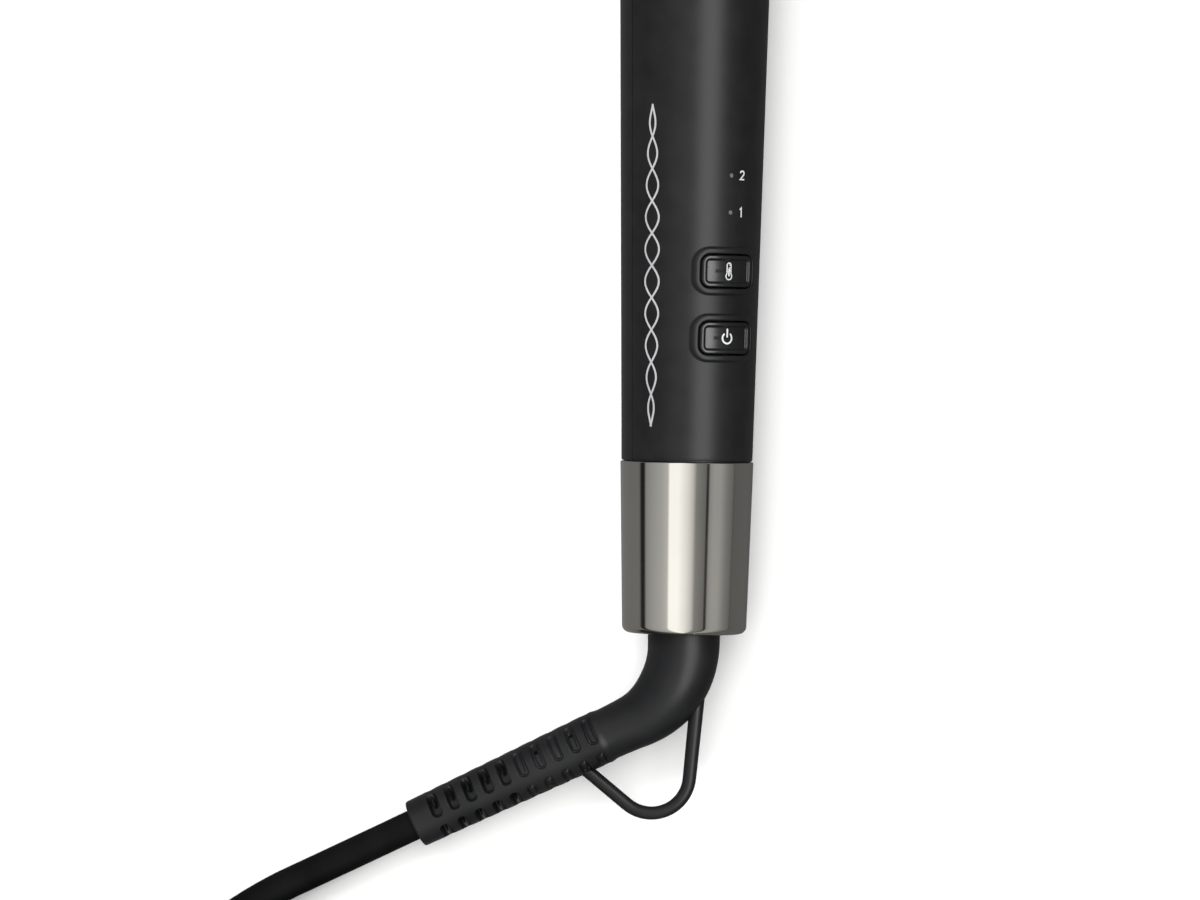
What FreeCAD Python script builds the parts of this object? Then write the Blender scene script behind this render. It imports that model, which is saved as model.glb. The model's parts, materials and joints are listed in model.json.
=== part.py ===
import FreeCAD, Part
import math
import os
import re
import Sketcher

# A clamp curling iron lying on a flat surface, in millimetres.
# Each piece is drawn along the iron's own axis: X runs from the tail of the end
# collar (X = 0) to the cool tip, and Z is up. FRAME then tips the iron until its
# collar and its folded stand rest on the surface. ROLLED also turns a piece about
# the axis, so that the buttons face along its own Z. SWUNG is for what turns with
# the cord, and LYING, COILED and PLUGGED are for what lies beyond it. The origin of
# the row is on the surface, midway along the iron.

SIZES = {
    # end collar, a metal cup over the tail of the handle
    "ring_length": 36.5, "ring_tail_radius": 13.2, "ring_front_radius": 14.15,
    "ring_wall": 0.8, "ring_end_wall": 1.4, "ring_round": 1.6, "ring_chamfer": 0.2,
    # handle shells
    "handle_length": 134.5, "handle_tail_radius": 13.94, "handle_front_radius": 16.55,
    "shell_wall": 2.0, "seam_angle": 0.8, "neck_gap": 0.15, "neck_wall": 1.5, "joint_gap": 0.35,
    "joint_depth": 0.2,
    "handle_roll": 33.0, "screw_radius": 1.25, "screw_head_radius": 2.4, "boss_radius": 3.0,
    "tail_screw_place": 48.0, "front_screw_inset": 17.0, "screw_grip": 8.0,
    # buttons and what is under them
    "button_width": 12.4, "button_length": 6.7, "button_corner": 1.7, "button_gap": 0.3,
    "button_rise": 0.55, "button_travel": 0.6, "temp_place": 77.0, "power_place": 62.9,
    "cap_floor": 11.2, "flange_width": 9.6, "flange_length": 9.0, "flange_thickness": 0.7,
    "stem_radius": 1.6, "plunger_radius": 1.7, "plunger_height": 0.8, "switch_size": 6.0,
    "switch_height": 3.4, "lip_width": 1.3, "lip_height": 0.45, "lip_round": 0.35,
    "board_height": 3.6, "board_thickness": 1.6, "board_width": 19.0, "board_start": 54.5,
    "board_inset": 29.0, "board_corner": 1.5, "stem_gap": 0.1, "low_light_place": 89.4,
    "high_light_place": 97.2, "light_radius": 0.45, "light_gap": 0.05, "led_length": 3.2,
    "led_width": 1.6, "led_height": 1.1, "pipe_gap": 0.3, "pipe_foot": 2.0,
    # cord swivel
    "swivel_gap": 0.3, "running_gap": 0.08, "journal_radius": 6.2, "journal_start": 4.6,
    "journal_length": 11.0, "socket_radius": 10.6, "tenon_radius": 4.2, "tenon_length": 6.5,
    "spool_bore": 2.4, "spool_flange_radius": 8.4, "spool_flange_length": 1.6,
    "carrier_radius": 4.2, "carrier_length": 13.0, "slip_ring_radius": 5.4, "slip_ring_width": 3.0,
    "slip_ring_gap": 2.2, "brush_thickness": 0.6, "brush_width": 2.4, "brush_length": 17.0,
    # cord guard with its hanging loop
    "guard_radius": 7.65, "guard_bend_start": 2.5, "guard_bend_radius": 18.5, "guard_turn": 63.7,
    "guard_neck_radius": 5.6, "guard_plain_length": 7.9, "guard_length": 52.0,
    "sleeve_radius": 5.8, "guard_end_radius": 5.15, "guard_droop": 6.0,
    "slot_count": 5, "slot_pitch": 4.1, "slot_width": 2.05, "slot_start": 9.1, "slot_angle": 66.0,
    "deep_slot": 2.0, "shallow_slot": 0.6, "slot_turn": 25.0, "sleeve_step": 0.8,
    "loop_radius": 1.42, "loop_bend": 8.2,
    # barrel, its heater and its collar
    "barrel_radius": 12.5, "barrel_wall": 0.9, "barrel_seat": 8.0, "barrel_reach": 154.0,
    "collar_length": 12.0, "collar_rear_radius": 16.2, "collar_front_radius": 15.0,
    "collar_nose": 1.5, "collar_gap": 0.3, "disc_thickness": 1.2, "lead_place": 5.5,
    "lead_radius": 0.8, "lead_gap": 2.0, "core_width": 12.0, "core_thickness": 3.0,
    "core_inset": 41.0, "core_length": 90.0, "spreader_gap": 0.15, "fuse_gap": 6.0,
    "fuse_length": 10.0, "fuse_radius": 2.0, "probe_gap": 2.0, "probe_length": 5.0,
    "probe_radius": 1.4, "tip_length": 25.0, "tip_radius": 12.2, "tip_plug_length": 8.0,
    "tip_round": 5.0, "tip_flange": 1.5, "tip_step": 1.0,
    # hair clamp
    "pin_inset": 15.0, "pin_height": 16.6, "pin_radius": 1.2, "pin_head_radius": 2.1,
    "ear_inner": 7.0, "ear_thickness": 1.0, "ear_length": 9.0, "ear_margin": 1.6,
    "bracket_base": 0.8, "saddle_angle": 82.0, "clamp_inset": 9.0, "clamp_setback": 7.0,
    "clamp_gap": 0.35, "clamp_wall": 0.8, "clamp_angle": 104.0, "clamp_corner": 7.0,
    "hub_radius": 2.6, "hub_drop": 0.4, "lever_width": 8.0, "lever_thickness": 2.6,
    "lever_foot": 14.0, "lever_toe": 1.0, "lever_knee": 8.0, "lever_rise": 4.0,
    "lever_reach": 44.0, "lever_tail_height": 28.5, "pad_width": 15.0, "pad_back": 4.0,
    "pad_front": 18.0, "pad_rise": 1.2, "pad_drop": 1.9, "pad_crown": 6.0,
    "spring_wire": 0.7, "spring_pitch": 0.8, "spring_turns": 2.5, "spring_gap": 0.1,
    "rivet_radius": 1.4, "rivet_inset": 5.0, "rivet_spacing": 6.0, "rivet_sink": 0.6,
    "rivet_length": 1.8,
    # folding stand
    "pivot_inset": 6.0, "stand_length": 29.0, "stand_drop": 17.5, "stand_wire": 1.5,
    "stand_half_width": 18.0, "stand_foot_half_width": 12.0, "stand_bend": 3.3,
    "stand_eye_radius": 3.3, "stand_pin_radius": 1.2, "stand_pin_seat": 1.0,
    "stand_pin_gap": 0.3, "stand_pin_head": 1.0,
    # cord, coil and plug
    "cord_radius": 3.3, "coil_x": -111.5, "coil_y": 78.0, "coil_mean_radius": 39.5,
    "coil_columns": 3, "coil_layers": 2, "tie_width": 9.0, "tie_thickness": 0.9,
    "tie_turn": 120.0, "plug_x": -163.0, "plug_y": 8.0, "plug_length": 36.0, "plug_width": 35.3,
    "plug_thickness": 13.7, "plug_nose_width": 26.0, "plug_taper": 9.0, "plug_round": 2.5,
    "plug_back": 6.0, "grommet_length": 24.0, "grommet_radius": 5.0, "grommet_end_radius": 3.9,
    "prong_radius": 2.0, "prong_length": 19.0, "prong_round": 1.2,
    "shank_radius": 1.8, "shank_length": 10.0, "prong_spacing": 18.6,
    "prong_seat": 6.0,
}

# Lengths and angles that follow from the sizes above.
DERIVED = {
    "handle_end": "(ring_length + handle_length)",
    "front_screw_place": "(handle_end - front_screw_inset)",
    "board_end": "(handle_end - board_inset)",
    "pipe_start": "(board_top + led_height + pipe_gap)",
    "barrel_start": "(handle_end - barrel_seat)",
    "barrel_end": "(handle_end + barrel_reach)",
    "core_start": "(handle_end + core_inset)",
    "core_end": "(core_start + core_length)",
    "pin_place": "(collar_end + pin_inset)",
    "clamp_start": "(pin_place + clamp_inset)",
    "clamp_end": "(barrel_end - clamp_setback)",
    "clamp_top": "(barrel_radius + clamp_gap + clamp_wall)",
    "lever_tail": "(pin_place - lever_reach)",
    "lever_tail_top": "(lever_tail_height + lever_thickness)",
    "stand_pivot": "(handle_end + pivot_inset)",
    "stand_foot": "(stand_pivot + stand_length)",
    "handle_taper": "((handle_front_radius - handle_tail_radius) / handle_length)",
    "neck_radius": "(ring_tail_radius - ring_wall - neck_gap)",
    "collar_end": "(handle_end + collar_length)",
    "tip_end": "(barrel_end + tip_length)",
    "tip_seat": "(barrel_radius - barrel_wall)",
    "contact_run": "(stand_foot - ring_length + ring_chamfer)",
    "contact_drop": "(stand_drop - stand_wire - ring_front_radius)",
    "contact_reach": "sqrt(contact_run^2 + contact_drop^2)",
    "tilt": "((atan(contact_drop / contact_run) + asin(stand_wire / contact_reach)) / 1deg)",
    "axis_height": "(ring_front_radius * cos(tilt) - (ring_length - ring_chamfer) * sin(tilt))",
    "half_length": "(tip_end * cos(tilt) / 2)",
    "spool_flange_start": "(journal_start + journal_length + swivel_gap)",
    "carrier_start": "(spool_flange_start + spool_flange_length)",
    "live_ring_start": "(carrier_start + slip_ring_gap)",
    "neutral_ring_start": "(live_ring_start + slip_ring_width + slip_ring_gap)",
    "board_top": "(board_height + board_thickness)",
    "plunger_top": "(board_top + switch_height + plunger_height)",
    "coil_outer": "(coil_mean_radius + coil_columns * cord_radius)",
    "coil_inner": "(coil_mean_radius - coil_columns * cord_radius)",
    "coil_height": "(2 * coil_layers * cord_radius)",
    "bend_x": "(0 - guard_bend_start - guard_bend_radius * sin(guard_turn))",
    "bend_y": "(guard_bend_radius * (1 - cos(guard_turn)))",
}

doc = FreeCAD.newDocument("curling_iron")
sheet = doc.addObject("Spreadsheet::Sheet", "Sizes")
for row, (word, number) in enumerate(SIZES.items(), 1):
    sheet.set(f"A{row}", word)
    sheet.set(f"B{row}", str(number))
    sheet.setAlias(f"B{row}", word)
doc.recompute()


def tie(text):
    """Writes an expression out in the sheet's own cells."""
    def word(match):
        name = match.group(0)
        if name in DERIVED:
            return tie(DERIVED[name])
        return "Sizes." + name if name in SIZES else name
    return re.sub(r"\b[a-z][a-z_]+\b", word, str(text))


def value(text):
    """The number that an expression has now."""
    return float(sheet.evalExpression(tie(text)))


FRAME = "placement(vector(0 - half_length; 0; axis_height); rotation(0; 0 - tilt; {turn}))"
LEVEL = FRAME.format(turn="0")
ROLLED = FRAME.format(turn="handle_roll")
SWUNG = FRAME.format(turn="0 - guard_droop")
LYING = "placement(vector(0 - half_length; 0; 0); rotation(0; 0; 0))"
COILED = "placement(vector(coil_x - half_length; coil_y; 0); rotation({turn}; 0; 0))"
PLUGGED = "placement(vector(plug_x - half_length; plug_y; 0); rotation(0; 0; 0))"
SUBPARTS = []


def handle_radius(place):
    return f"(handle_tail_radius + ({place} - ring_length) * handle_taper)"


# ---------------------------------------------------------------- drawing tools

def new_body(name):
    return doc.addObject("PartDesign::Body", name)


def plane_of(body, plane):
    return next(item for item in body.Origin.OriginFeatures if item.Role == plane + "_Plane")


def new_sketch(body, plane, offset="0"):
    sketch = body.newObject("Sketcher::SketchObject", body.Name + "_sketch")
    sketch.AttachmentSupport = [(plane_of(body, plane), "")]
    sketch.MapMode = "FlatFace"
    if offset != "0":
        sketch.setExpression(".AttachmentOffset.Base.z", tie(offset))
    return sketch


def tie_point(sketch, edge, end, across, up):
    """Holds an edge's end at its expressions, measured from the sketch's origin."""
    for kind, axis, text in (("DistanceX", -2, across), ("DistanceY", -1, up)):
        if text is None:
            continue
        if abs(value(text)) < 1e-7:
            sketch.addConstraint(Sketcher.Constraint("PointOnObject", edge, end, axis))
        else:
            index = sketch.addConstraint(
                Sketcher.Constraint(kind, -1, 1, edge, end, value(text)))
            sketch.setExpression(f"Constraints[{index}]", tie(text))


def outline(body, plane, points, offset="0"):
    """A closed outline of straight edges through the points, each a pair of expressions."""
    sketch = new_sketch(body, plane, offset)
    corners = [FreeCAD.Vector(value(across), value(up), 0) for across, up in points]
    count = len(corners)
    for index in range(count):
        sketch.addGeometry(Part.LineSegment(corners[index], corners[(index + 1) % count]), False)
    for index in range(count):
        sketch.addConstraint(
            Sketcher.Constraint("Coincident", index, 2, (index + 1) % count, 1))
    for index, (across, up) in enumerate(points):
        tie_point(sketch, index, 1, across, up)
    return sketch


def disc(body, plane, centre, radius, offset="0"):
    """A circle about a centre given as a pair of expressions."""
    sketch = new_sketch(body, plane, offset)
    middle = FreeCAD.Vector(value(centre[0]), value(centre[1]), 0)
    sketch.addGeometry(Part.Circle(middle, FreeCAD.Vector(0, 0, 1), value(radius)), False)
    tie_point(sketch, 0, 3, *centre)
    index = sketch.addConstraint(Sketcher.Constraint("Radius", 0, value(radius)))
    sketch.setExpression(f"Constraints[{index}]", tie(radius))
    return sketch


def box_outline(left, right, low, high):
    return [(left, low), (right, low), (right, high), (left, high)]


def spin(body, points, angle="360", cut=False):
    """Turns an outline of (place, radius) points about the iron's axis."""
    sketch = outline(body, "XZ", points)
    kind = "PartDesign::Groove" if cut else "PartDesign::Revolution"
    feature = body.newObject(kind, body.Name + "_turned")
    feature.Profile = sketch
    feature.ReferenceAxis = (sketch, ["H_Axis"])
    if angle != "360":
        feature.Midplane = True
        feature.setExpression("Angle", tie(angle))
    sketch.Visibility = False
    return feature


def extrude(body, sketch, depth, both=False, cut=False):
    """Pads or pockets a sketch along its plane's normal, or evenly to both sides."""
    feature = body.newObject("PartDesign::Pocket" if cut else "PartDesign::Pad",
                             body.Name + ("_cut" if cut else "_pad"))
    feature.Profile = sketch
    if both:
        feature.SideType = "Symmetric"
    elif cut:
        feature.Reversed = True
    feature.setExpression("Length", tie(depth))
    return feature


def soften(body, radius, chosen):
    """Rounds the edges of a body's last feature that the test picks out."""
    doc.recompute()
    base = body.Tip
    names = [f"Edge{number}" for number, edge in enumerate(base.Shape.Edges, 1) if chosen(edge)]
    feature = body.newObject("PartDesign::Fillet", body.Name + "_round")
    feature.Base = (base, names)
    feature.setExpression("Radius", tie(radius))
    return feature


def along(edge, axis):
    """True for a straight edge that runs along an axis: 0, 1 or 2 for X, Y or Z."""
    if edge.Curve.TypeId != "Part::GeomLine":
        return False
    return abs(abs(edge.Curve.Direction[axis]) - 1) < 1e-6


def seat(shape, node, frame=LEVEL):
    """Names a finished sub-part and puts it in its place on the iron."""
    shape.Label = node
    shape.setExpression("Placement", tie(frame))
    SUBPARTS.append(shape)
    return shape


def join(kind, name, shapes):
    """A boolean of bodies: Part::MultiFuse, Part::MultiCommon or Part::Compound."""
    result = doc.addObject(kind, name)
    if kind == "Part::Compound":
        result.Links = shapes
    else:
        result.Shapes = shapes
    return result


def cut_away(name, base, tool):
    result = doc.addObject("Part::Cut", name)
    result.Base = base
    result.Tool = tool
    return result


def turned(node, points, frame=LEVEL, angle="360"):
    body = new_body(node)
    spin(body, points, angle)
    return seat(body, node, frame)


# ---------------------------------------------------------------- end collar and shells

def make_end_collar():
    body = new_body("end_collar")
    spin(body, [
        ("0", "guard_radius + swivel_gap"),
        ("0", "ring_tail_radius"),
        ("ring_length - ring_chamfer", "ring_front_radius"),
        ("ring_length", "ring_front_radius - ring_chamfer"),
        ("ring_length", "ring_front_radius - ring_wall"),
        ("ring_end_wall", "ring_tail_radius - ring_wall"),
        ("ring_end_wall", "guard_radius + swivel_gap"),
    ])
    tail = value("ring_tail_radius")
    soften(body, "ring_round", lambda edge: edge.BoundBox.XMax < 1e-6
           and abs(edge.BoundBox.ZMax - tail) < 1e-6)
    seat(body, "end_collar")


def shell_profile():
    """The handle's wall with its neck under the collar, as (place, radius) points."""
    step = "ring_length + joint_gap"
    return [
        ("ring_end_wall + neck_gap", "neck_radius"),
        ("ring_length + neck_gap", "neck_radius"),
        ("ring_length + neck_gap", handle_radius(step) + " - joint_depth"),
        (step, handle_radius(step) + " - joint_depth"),
        (step, handle_radius(step)),
        ("handle_end", "handle_front_radius"),
        ("handle_end", "handle_front_radius - shell_wall"),
        (step + " + 2 * shell_wall", handle_radius(step) + " - shell_wall"),
        (step, "neck_radius - neck_wall"),
        ("ring_end_wall + neck_gap", "neck_radius - neck_wall"),
    ]


def button_outline(body, place, spare, offset):
    """A button's rectangle, widened all round by a spare length."""
    half_length = f"(button_length / 2 + {spare})"
    half_width = f"(button_width / 2 + {spare})"
    return outline(body, "XY", box_outline(
        f"{place} - {half_length}", f"{place} + {half_length}",
        f"0 - {half_width}", half_width), offset)


def button_block(name, place, spare, corner):
    """An upright block with rounded corners over one button."""
    body = new_body(name)
    extrude(body, button_outline(body, place, spare, "boss_radius"), "handle_front_radius")
    soften(body, corner, lambda edge: along(edge, 2))
    return body


BUTTONS = (("temp", "temp_place"), ("power", "power_place"))


def make_front_shell():
    blank = new_body("front_blank")
    spin(blank, shell_profile(), "180 - seam_angle")
    lip_start = "power_place - button_length"
    lip_end = "temp_place + button_length"
    skin = new_body("lip_skin")
    spin(skin, [
        (lip_start, handle_radius(lip_start) + " - shell_wall / 2"),
        (lip_start, handle_radius(lip_start) + " + lip_height"),
        (lip_end, handle_radius(lip_end) + " + lip_height"),
        (lip_end, handle_radius(lip_end) + " - shell_wall / 2"),
    ], "120")
    blocks = [button_block(word + "_lip_block", place, "(button_gap + lip_width)",
                           "button_corner + button_gap + lip_width") for word, place in BUTTONS]
    lips = join("Part::MultiCommon", "lips", [skin, join("Part::Compound", "lip_blocks", blocks)])
    posts = [screw_post("front_post_" + word, place, True) for word, place in SCREWS]
    solid = join("Part::MultiFuse", "front_solid", [blank, lips] + posts)
    tools = [button_block(word + "_window", place, "button_gap", "button_corner + button_gap")
             for word, place in BUTTONS]
    for word, place in LIGHTS:
        hole = new_body(word + "_light_hole")
        extrude(hole, disc(hole, "XY", (place, "0"), "light_radius + light_gap", "board_top"),
                "handle_front_radius")
        tools.append(hole)
    tools += [screw_bore("front_bore_" + word, place, "screw_radius") for word, place in SCREWS]
    open_shell = cut_away("open_shell", solid, join("Part::MultiFuse", "openings", tools))
    doc.recompute()
    rounded = doc.addObject("Part::Fillet", "handle_front_shell")
    rounded.Base = open_shell
    radius = value("lip_round")
    rounded.Edges = [(number, radius, radius)
                     for number, edge in enumerate(open_shell.Shape.Edges, 1) if on_lip(edge)]
    seat(rounded, "handle_front_shell", ROLLED)


def on_lip(edge):
    """True for an edge that lies on the raised face of a button's lip."""
    slope, rise = value("handle_taper"), value("lip_height")
    start, tail = value("ring_length"), value("handle_tail_radius")
    for step in range(5):
        point = edge.valueAt(edge.FirstParameter + (edge.LastParameter - edge.FirstParameter)
                             * step / 4)
        height = math.hypot(point.y, point.z) - tail - (point.x - start) * slope
        if abs(height - rise) > 0.02:
            return False
    return True


SCREWS = (("tail", "tail_screw_place"), ("front", "front_screw_place"))
LIGHTS = (("low", "low_light_place"), ("high", "high_light_place"))


def screw_post(name, place, front):
    """A round post from the seam to the inside of a shell's wall."""
    body = new_body(name)
    depth = f"({handle_radius(place)} - shell_wall / 2)"
    sketch = disc(body, "XY", (place, "0"), "boss_radius", "neck_gap")
    extrude(body, sketch, depth + " - neck_gap")
    if not front:
        body.Placement.Rotation = FreeCAD.Rotation(FreeCAD.Vector(1, 0, 0), 180)
    return body


def screw_bore(name, place, radius):
    """A blind bore for one screw's thread."""
    body = new_body(name)
    extrude(body, disc(body, "XY", (place, "0"), radius), "screw_grip")
    return body


def make_rear_shell():
    blank = new_body("rear_blank")
    spin(blank, shell_profile(), "180 - seam_angle")
    blank.Placement.Rotation = FreeCAD.Rotation(FreeCAD.Vector(1, 0, 0), 180)
    posts = [screw_post("rear_post_" + word, place, False) for word, place in SCREWS]
    solid = join("Part::MultiFuse", "rear_solid", [blank] + posts)
    tools = []
    for word, place in SCREWS:
        shank = new_body("rear_shank_" + word)
        extrude(shank, disc(shank, "XY", (place, "0"), "screw_radius + neck_gap",
                            "0 - handle_front_radius"), "handle_front_radius")
        well = new_body("rear_well_" + word)
        extrude(well, disc(well, "XY", (place, "0"), "screw_head_radius + neck_gap",
                           f"0 - handle_front_radius - {handle_radius(place)} / 2"),
                "handle_front_radius")
        tools += [shank, well]
    seat(cut_away("handle_rear_shell", solid, join("Part::MultiFuse", "rear_tools", tools)),
         "handle_rear_shell", ROLLED)


def make_shell_screws():
    screws = []
    for word, place in SCREWS:
        body = new_body(word + "_screw")
        head = f"(0 - {handle_radius(place)} / 2)"
        extrude(body, disc(body, "XY", (place, "0"), "screw_head_radius", head + " - shell_wall"),
                "shell_wall")
        extrude(body, disc(body, "XY", (place, "0"), "screw_radius", head),
                f"{handle_radius(place)} / 2 + screw_grip - neck_gap")
        screws.append(body)
    seat(join("Part::Compound", "shell_screws", screws), "shell_screws", ROLLED)


# ---------------------------------------------------------------- buttons and circuit

def make_button(word, place):
    """A cap with a flange that holds it in its window and a stem over its switch."""
    block = button_block(word + "_cap_block", place, "0", "button_corner")
    crown = new_body(word + "_crown")
    start, end = f"{place} - button_length", f"{place} + button_length"
    spin(crown, [
        (start, "0"), (start, handle_radius(start) + " + button_rise"),
        (end, handle_radius(end) + " + button_rise"), (end, "0"),
    ])
    floor = new_body(word + "_floor")
    extrude(floor, outline(floor, "XY", box_outline(start, end, "0 - button_width", "button_width"),
                           "cap_floor"), "handle_front_radius")
    cap = join("Part::MultiCommon", word + "_cap", [block, crown, floor])
    under = new_body(word + "_under")
    extrude(under, outline(under, "XY", box_outline(
        f"{place} - flange_length / 2", f"{place} + flange_length / 2",
        "0 - flange_width / 2", "flange_width / 2"), "cap_floor - flange_thickness"),
        "flange_thickness")
    stem_low = "plunger_top + button_travel + stem_gap"
    extrude(under, disc(under, "XY", (place, "0"), "stem_radius", stem_low),
            f"cap_floor - {stem_low}")
    seat(join("Part::MultiFuse", word + "_button", [cap, under]), word + "_button", ROLLED)


def make_switch(word, place):
    body = new_body(word + "_switch")
    extrude(body, outline(body, "XY", box_outline(
        f"{place} - switch_size / 2", f"{place} + switch_size / 2",
        "0 - switch_size / 2", "switch_size / 2"), "board_top"), "switch_height")
    extrude(body, disc(body, "XY", (place, "0"), "plunger_radius", "board_top + switch_height"),
            "plunger_height")
    seat(body, word + "_switch", ROLLED)


def make_circuit_board():
    body = new_body("circuit_board")
    extrude(body, outline(body, "XY", box_outline(
        "board_start", "board_end", "0 - board_width / 2", "board_width / 2"), "board_height"),
        "board_thickness")
    soften(body, "board_corner", lambda edge: along(edge, 2))
    seat(body, "circuit_board", ROLLED)
    leds = []
    for word, place in LIGHTS:
        chip = new_body(word + "_led")
        extrude(chip, outline(chip, "XY", box_outline(
            f"{place} - led_length / 2", f"{place} + led_length / 2",
            "0 - led_width / 2", "led_width / 2"), "board_top"), "led_height")
        leds.append(chip)
        pipe = new_body(word + "_light_pipe")
        extrude(pipe, disc(pipe, "XY", (place, "0"), "light_radius", "pipe_start"),
                f"{handle_radius(place)} - pipe_start")
        extrude(pipe, disc(pipe, "XY", (place, "0"), "light_radius * 2", "pipe_start"), "pipe_foot")
        seat(pipe, word + "_light_pipe", ROLLED)
    seat(join("Part::Compound", "indicator_leds", leds), "indicator_leds", ROLLED)


# ---------------------------------------------------------------- cord swivel

def make_swivel():
    bore = "journal_radius + running_gap"
    turned("swivel_socket", [
        ("journal_start", bore), ("journal_start", "socket_radius"),
        ("journal_start + journal_length", "socket_radius"),
        ("journal_start + journal_length", bore),
    ])
    flange_end = "spool_flange_start + spool_flange_length"
    carrier_end = "carrier_start + carrier_length"
    turned("swivel_spool", [
        ("journal_start - swivel_gap - tenon_length", "spool_bore"),
        ("journal_start - swivel_gap - tenon_length", "tenon_radius"),
        ("journal_start - swivel_gap", "tenon_radius"),
        ("journal_start - swivel_gap", "journal_radius"),
        ("spool_flange_start", "journal_radius"),
        ("spool_flange_start", "spool_flange_radius"),
        (flange_end, "spool_flange_radius"),
        (flange_end, "carrier_radius"),
        (carrier_end, "carrier_radius"),
        (carrier_end, "spool_bore"),
    ], SWUNG)
    for word in ("live", "neutral"):
        start = word + "_ring_start"
        turned(word + "_slip_ring", box_outline(
            start, start + " + slip_ring_width", "carrier_radius", "slip_ring_radius"), SWUNG)
        blade = new_body(word + "_brush")
        low = "slip_ring_radius + running_gap"
        middle = start + " + slip_ring_width / 2"
        sketch = outline(blade, "XY", box_outline(
            middle + " - brush_width / 2", middle + " + brush_width / 2",
            "0 - brush_length / 2", "brush_length / 2"), low)
        extrude(blade, sketch, "brush_thickness")
        if word == "neutral":
            seat(blade, "neutral_brush", FRAME.format(turn="180"))
        else:
            seat(blade, "live_brush")


def make_cord_guard():
    root = new_body("guard_root")
    spin(root, box_outline("0 - guard_bend_start", "journal_start - swivel_gap",
                           "0", "guard_radius"))
    spin(root, box_outline("journal_start - swivel_gap - tenon_length",
                           "journal_start - swivel_gap", "0", "tenon_radius"), cut=True)
    bend = guard_bend()
    sleeve = guard_sleeve()
    guard = join("Part::MultiFuse", "cord_guard", [root, bend, sleeve, hanging_loop()])
    seat(guard, "cord_guard", SWUNG)


def guard_bend():
    """The curved part of the guard, a circle swept round the bend as it narrows."""
    body = new_body("guard_bend")
    spine = new_sketch(body, "XY")
    centre = FreeCAD.Vector(-value("guard_bend_start"), value("guard_bend_radius"), 0)
    turn = math.radians(value("guard_turn"))
    circle = Part.Circle(centre, FreeCAD.Vector(0, 0, 1), value("guard_bend_radius"))
    spine.addGeometry(Part.ArcOfCircle(circle, -math.pi / 2 - turn, -math.pi / 2), False)
    tie_point(spine, 0, 3, "0 - guard_bend_start", "guard_bend_radius")
    tie_point(spine, 0, 2, "0 - guard_bend_start", "0")
    tie_point(spine, 0, 1, "bend_x", None)
    wide = disc(body, "YZ", ("0", "0"), "guard_radius", "0 - guard_bend_start")
    narrow = new_sketch(body, "YZ")
    narrow.setExpression(".AttachmentOffset", tie(
        "placement(vector(bend_y; 0; bend_x); rotation(vector(0; 1; 0); 0 - guard_turn))"))
    narrow.addGeometry(Part.Circle(FreeCAD.Vector(), FreeCAD.Vector(0, 0, 1),
                                   value("guard_neck_radius")), False)
    narrow.addConstraint(Sketcher.Constraint("Coincident", 0, 3, -1, 1))
    index = narrow.addConstraint(Sketcher.Constraint("Radius", 0, value("guard_neck_radius")))
    narrow.setExpression(f"Constraints[{index}]", tie("guard_neck_radius"))
    pipe = body.newObject("PartDesign::AdditivePipe", "guard_pipe")
    pipe.Profile = wide
    pipe.Spine = (spine, ["Edge1"])
    pipe.Transformation = "Multisection"
    pipe.Sections = [(narrow, [""])]
    return body


def guard_sleeve():
    """The straight part of the guard, with its four rows of slots."""
    body = new_body("guard_sleeve")
    start = "guard_plain_length"
    spin(body, [
        ("0", "0"), ("0", "guard_neck_radius"), (start + " - sleeve_step", "guard_neck_radius"),
        (start, "sleeve_radius"), ("guard_length", "guard_end_radius"), ("guard_length", "0"),
    ])
    for first, depth in (("slot_start", "shallow_slot"),
                         ("slot_start + slot_count * slot_pitch", "deep_slot")):
        doc.recompute()
        low, high = f"{first} - slot_width / 2", f"{first} + slot_width / 2"
        groove = spin(body, [
            (low, "guard_end_radius - " + depth), (high, "guard_end_radius - " + depth),
            (high, "2 * sleeve_radius"), (low, "2 * sleeve_radius"),
        ], "slot_angle", cut=True)
        doc.recompute()
        both_ways = body.newObject("PartDesign::MultiTransform", "slots")
        both_ways.Originals = [groove]
        axis = next(item for item in body.Origin.OriginFeatures if item.Role == "X_Axis")
        row = body.newObject("PartDesign::LinearPattern", "slot_row")
        row.Direction = (axis, [""])
        row.setExpression("Length", tie("slot_pitch * (slot_count - 1)"))
        row.setExpression("Occurrences", tie("slot_count"))
        ring = body.newObject("PartDesign::PolarPattern", "slot_ring")
        ring.Axis = (axis, [""])
        ring.Angle = 360
        ring.Occurrences = 4
        both_ways.Transformations = [row, ring]
        body.Tip = both_ways
    body.setExpression("Placement", tie(
        "placement(vector(bend_x; bend_y; 0); rotation(180 - guard_turn; 0; slot_turn))"))
    return body


# Where the hanging loop's rod leaves the bend, turns back and meets the sleeve.
LOOP_ROUTE = ((-8.0, -3.61), (-46.4, -0.39), (-27.4, 23.3))


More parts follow.
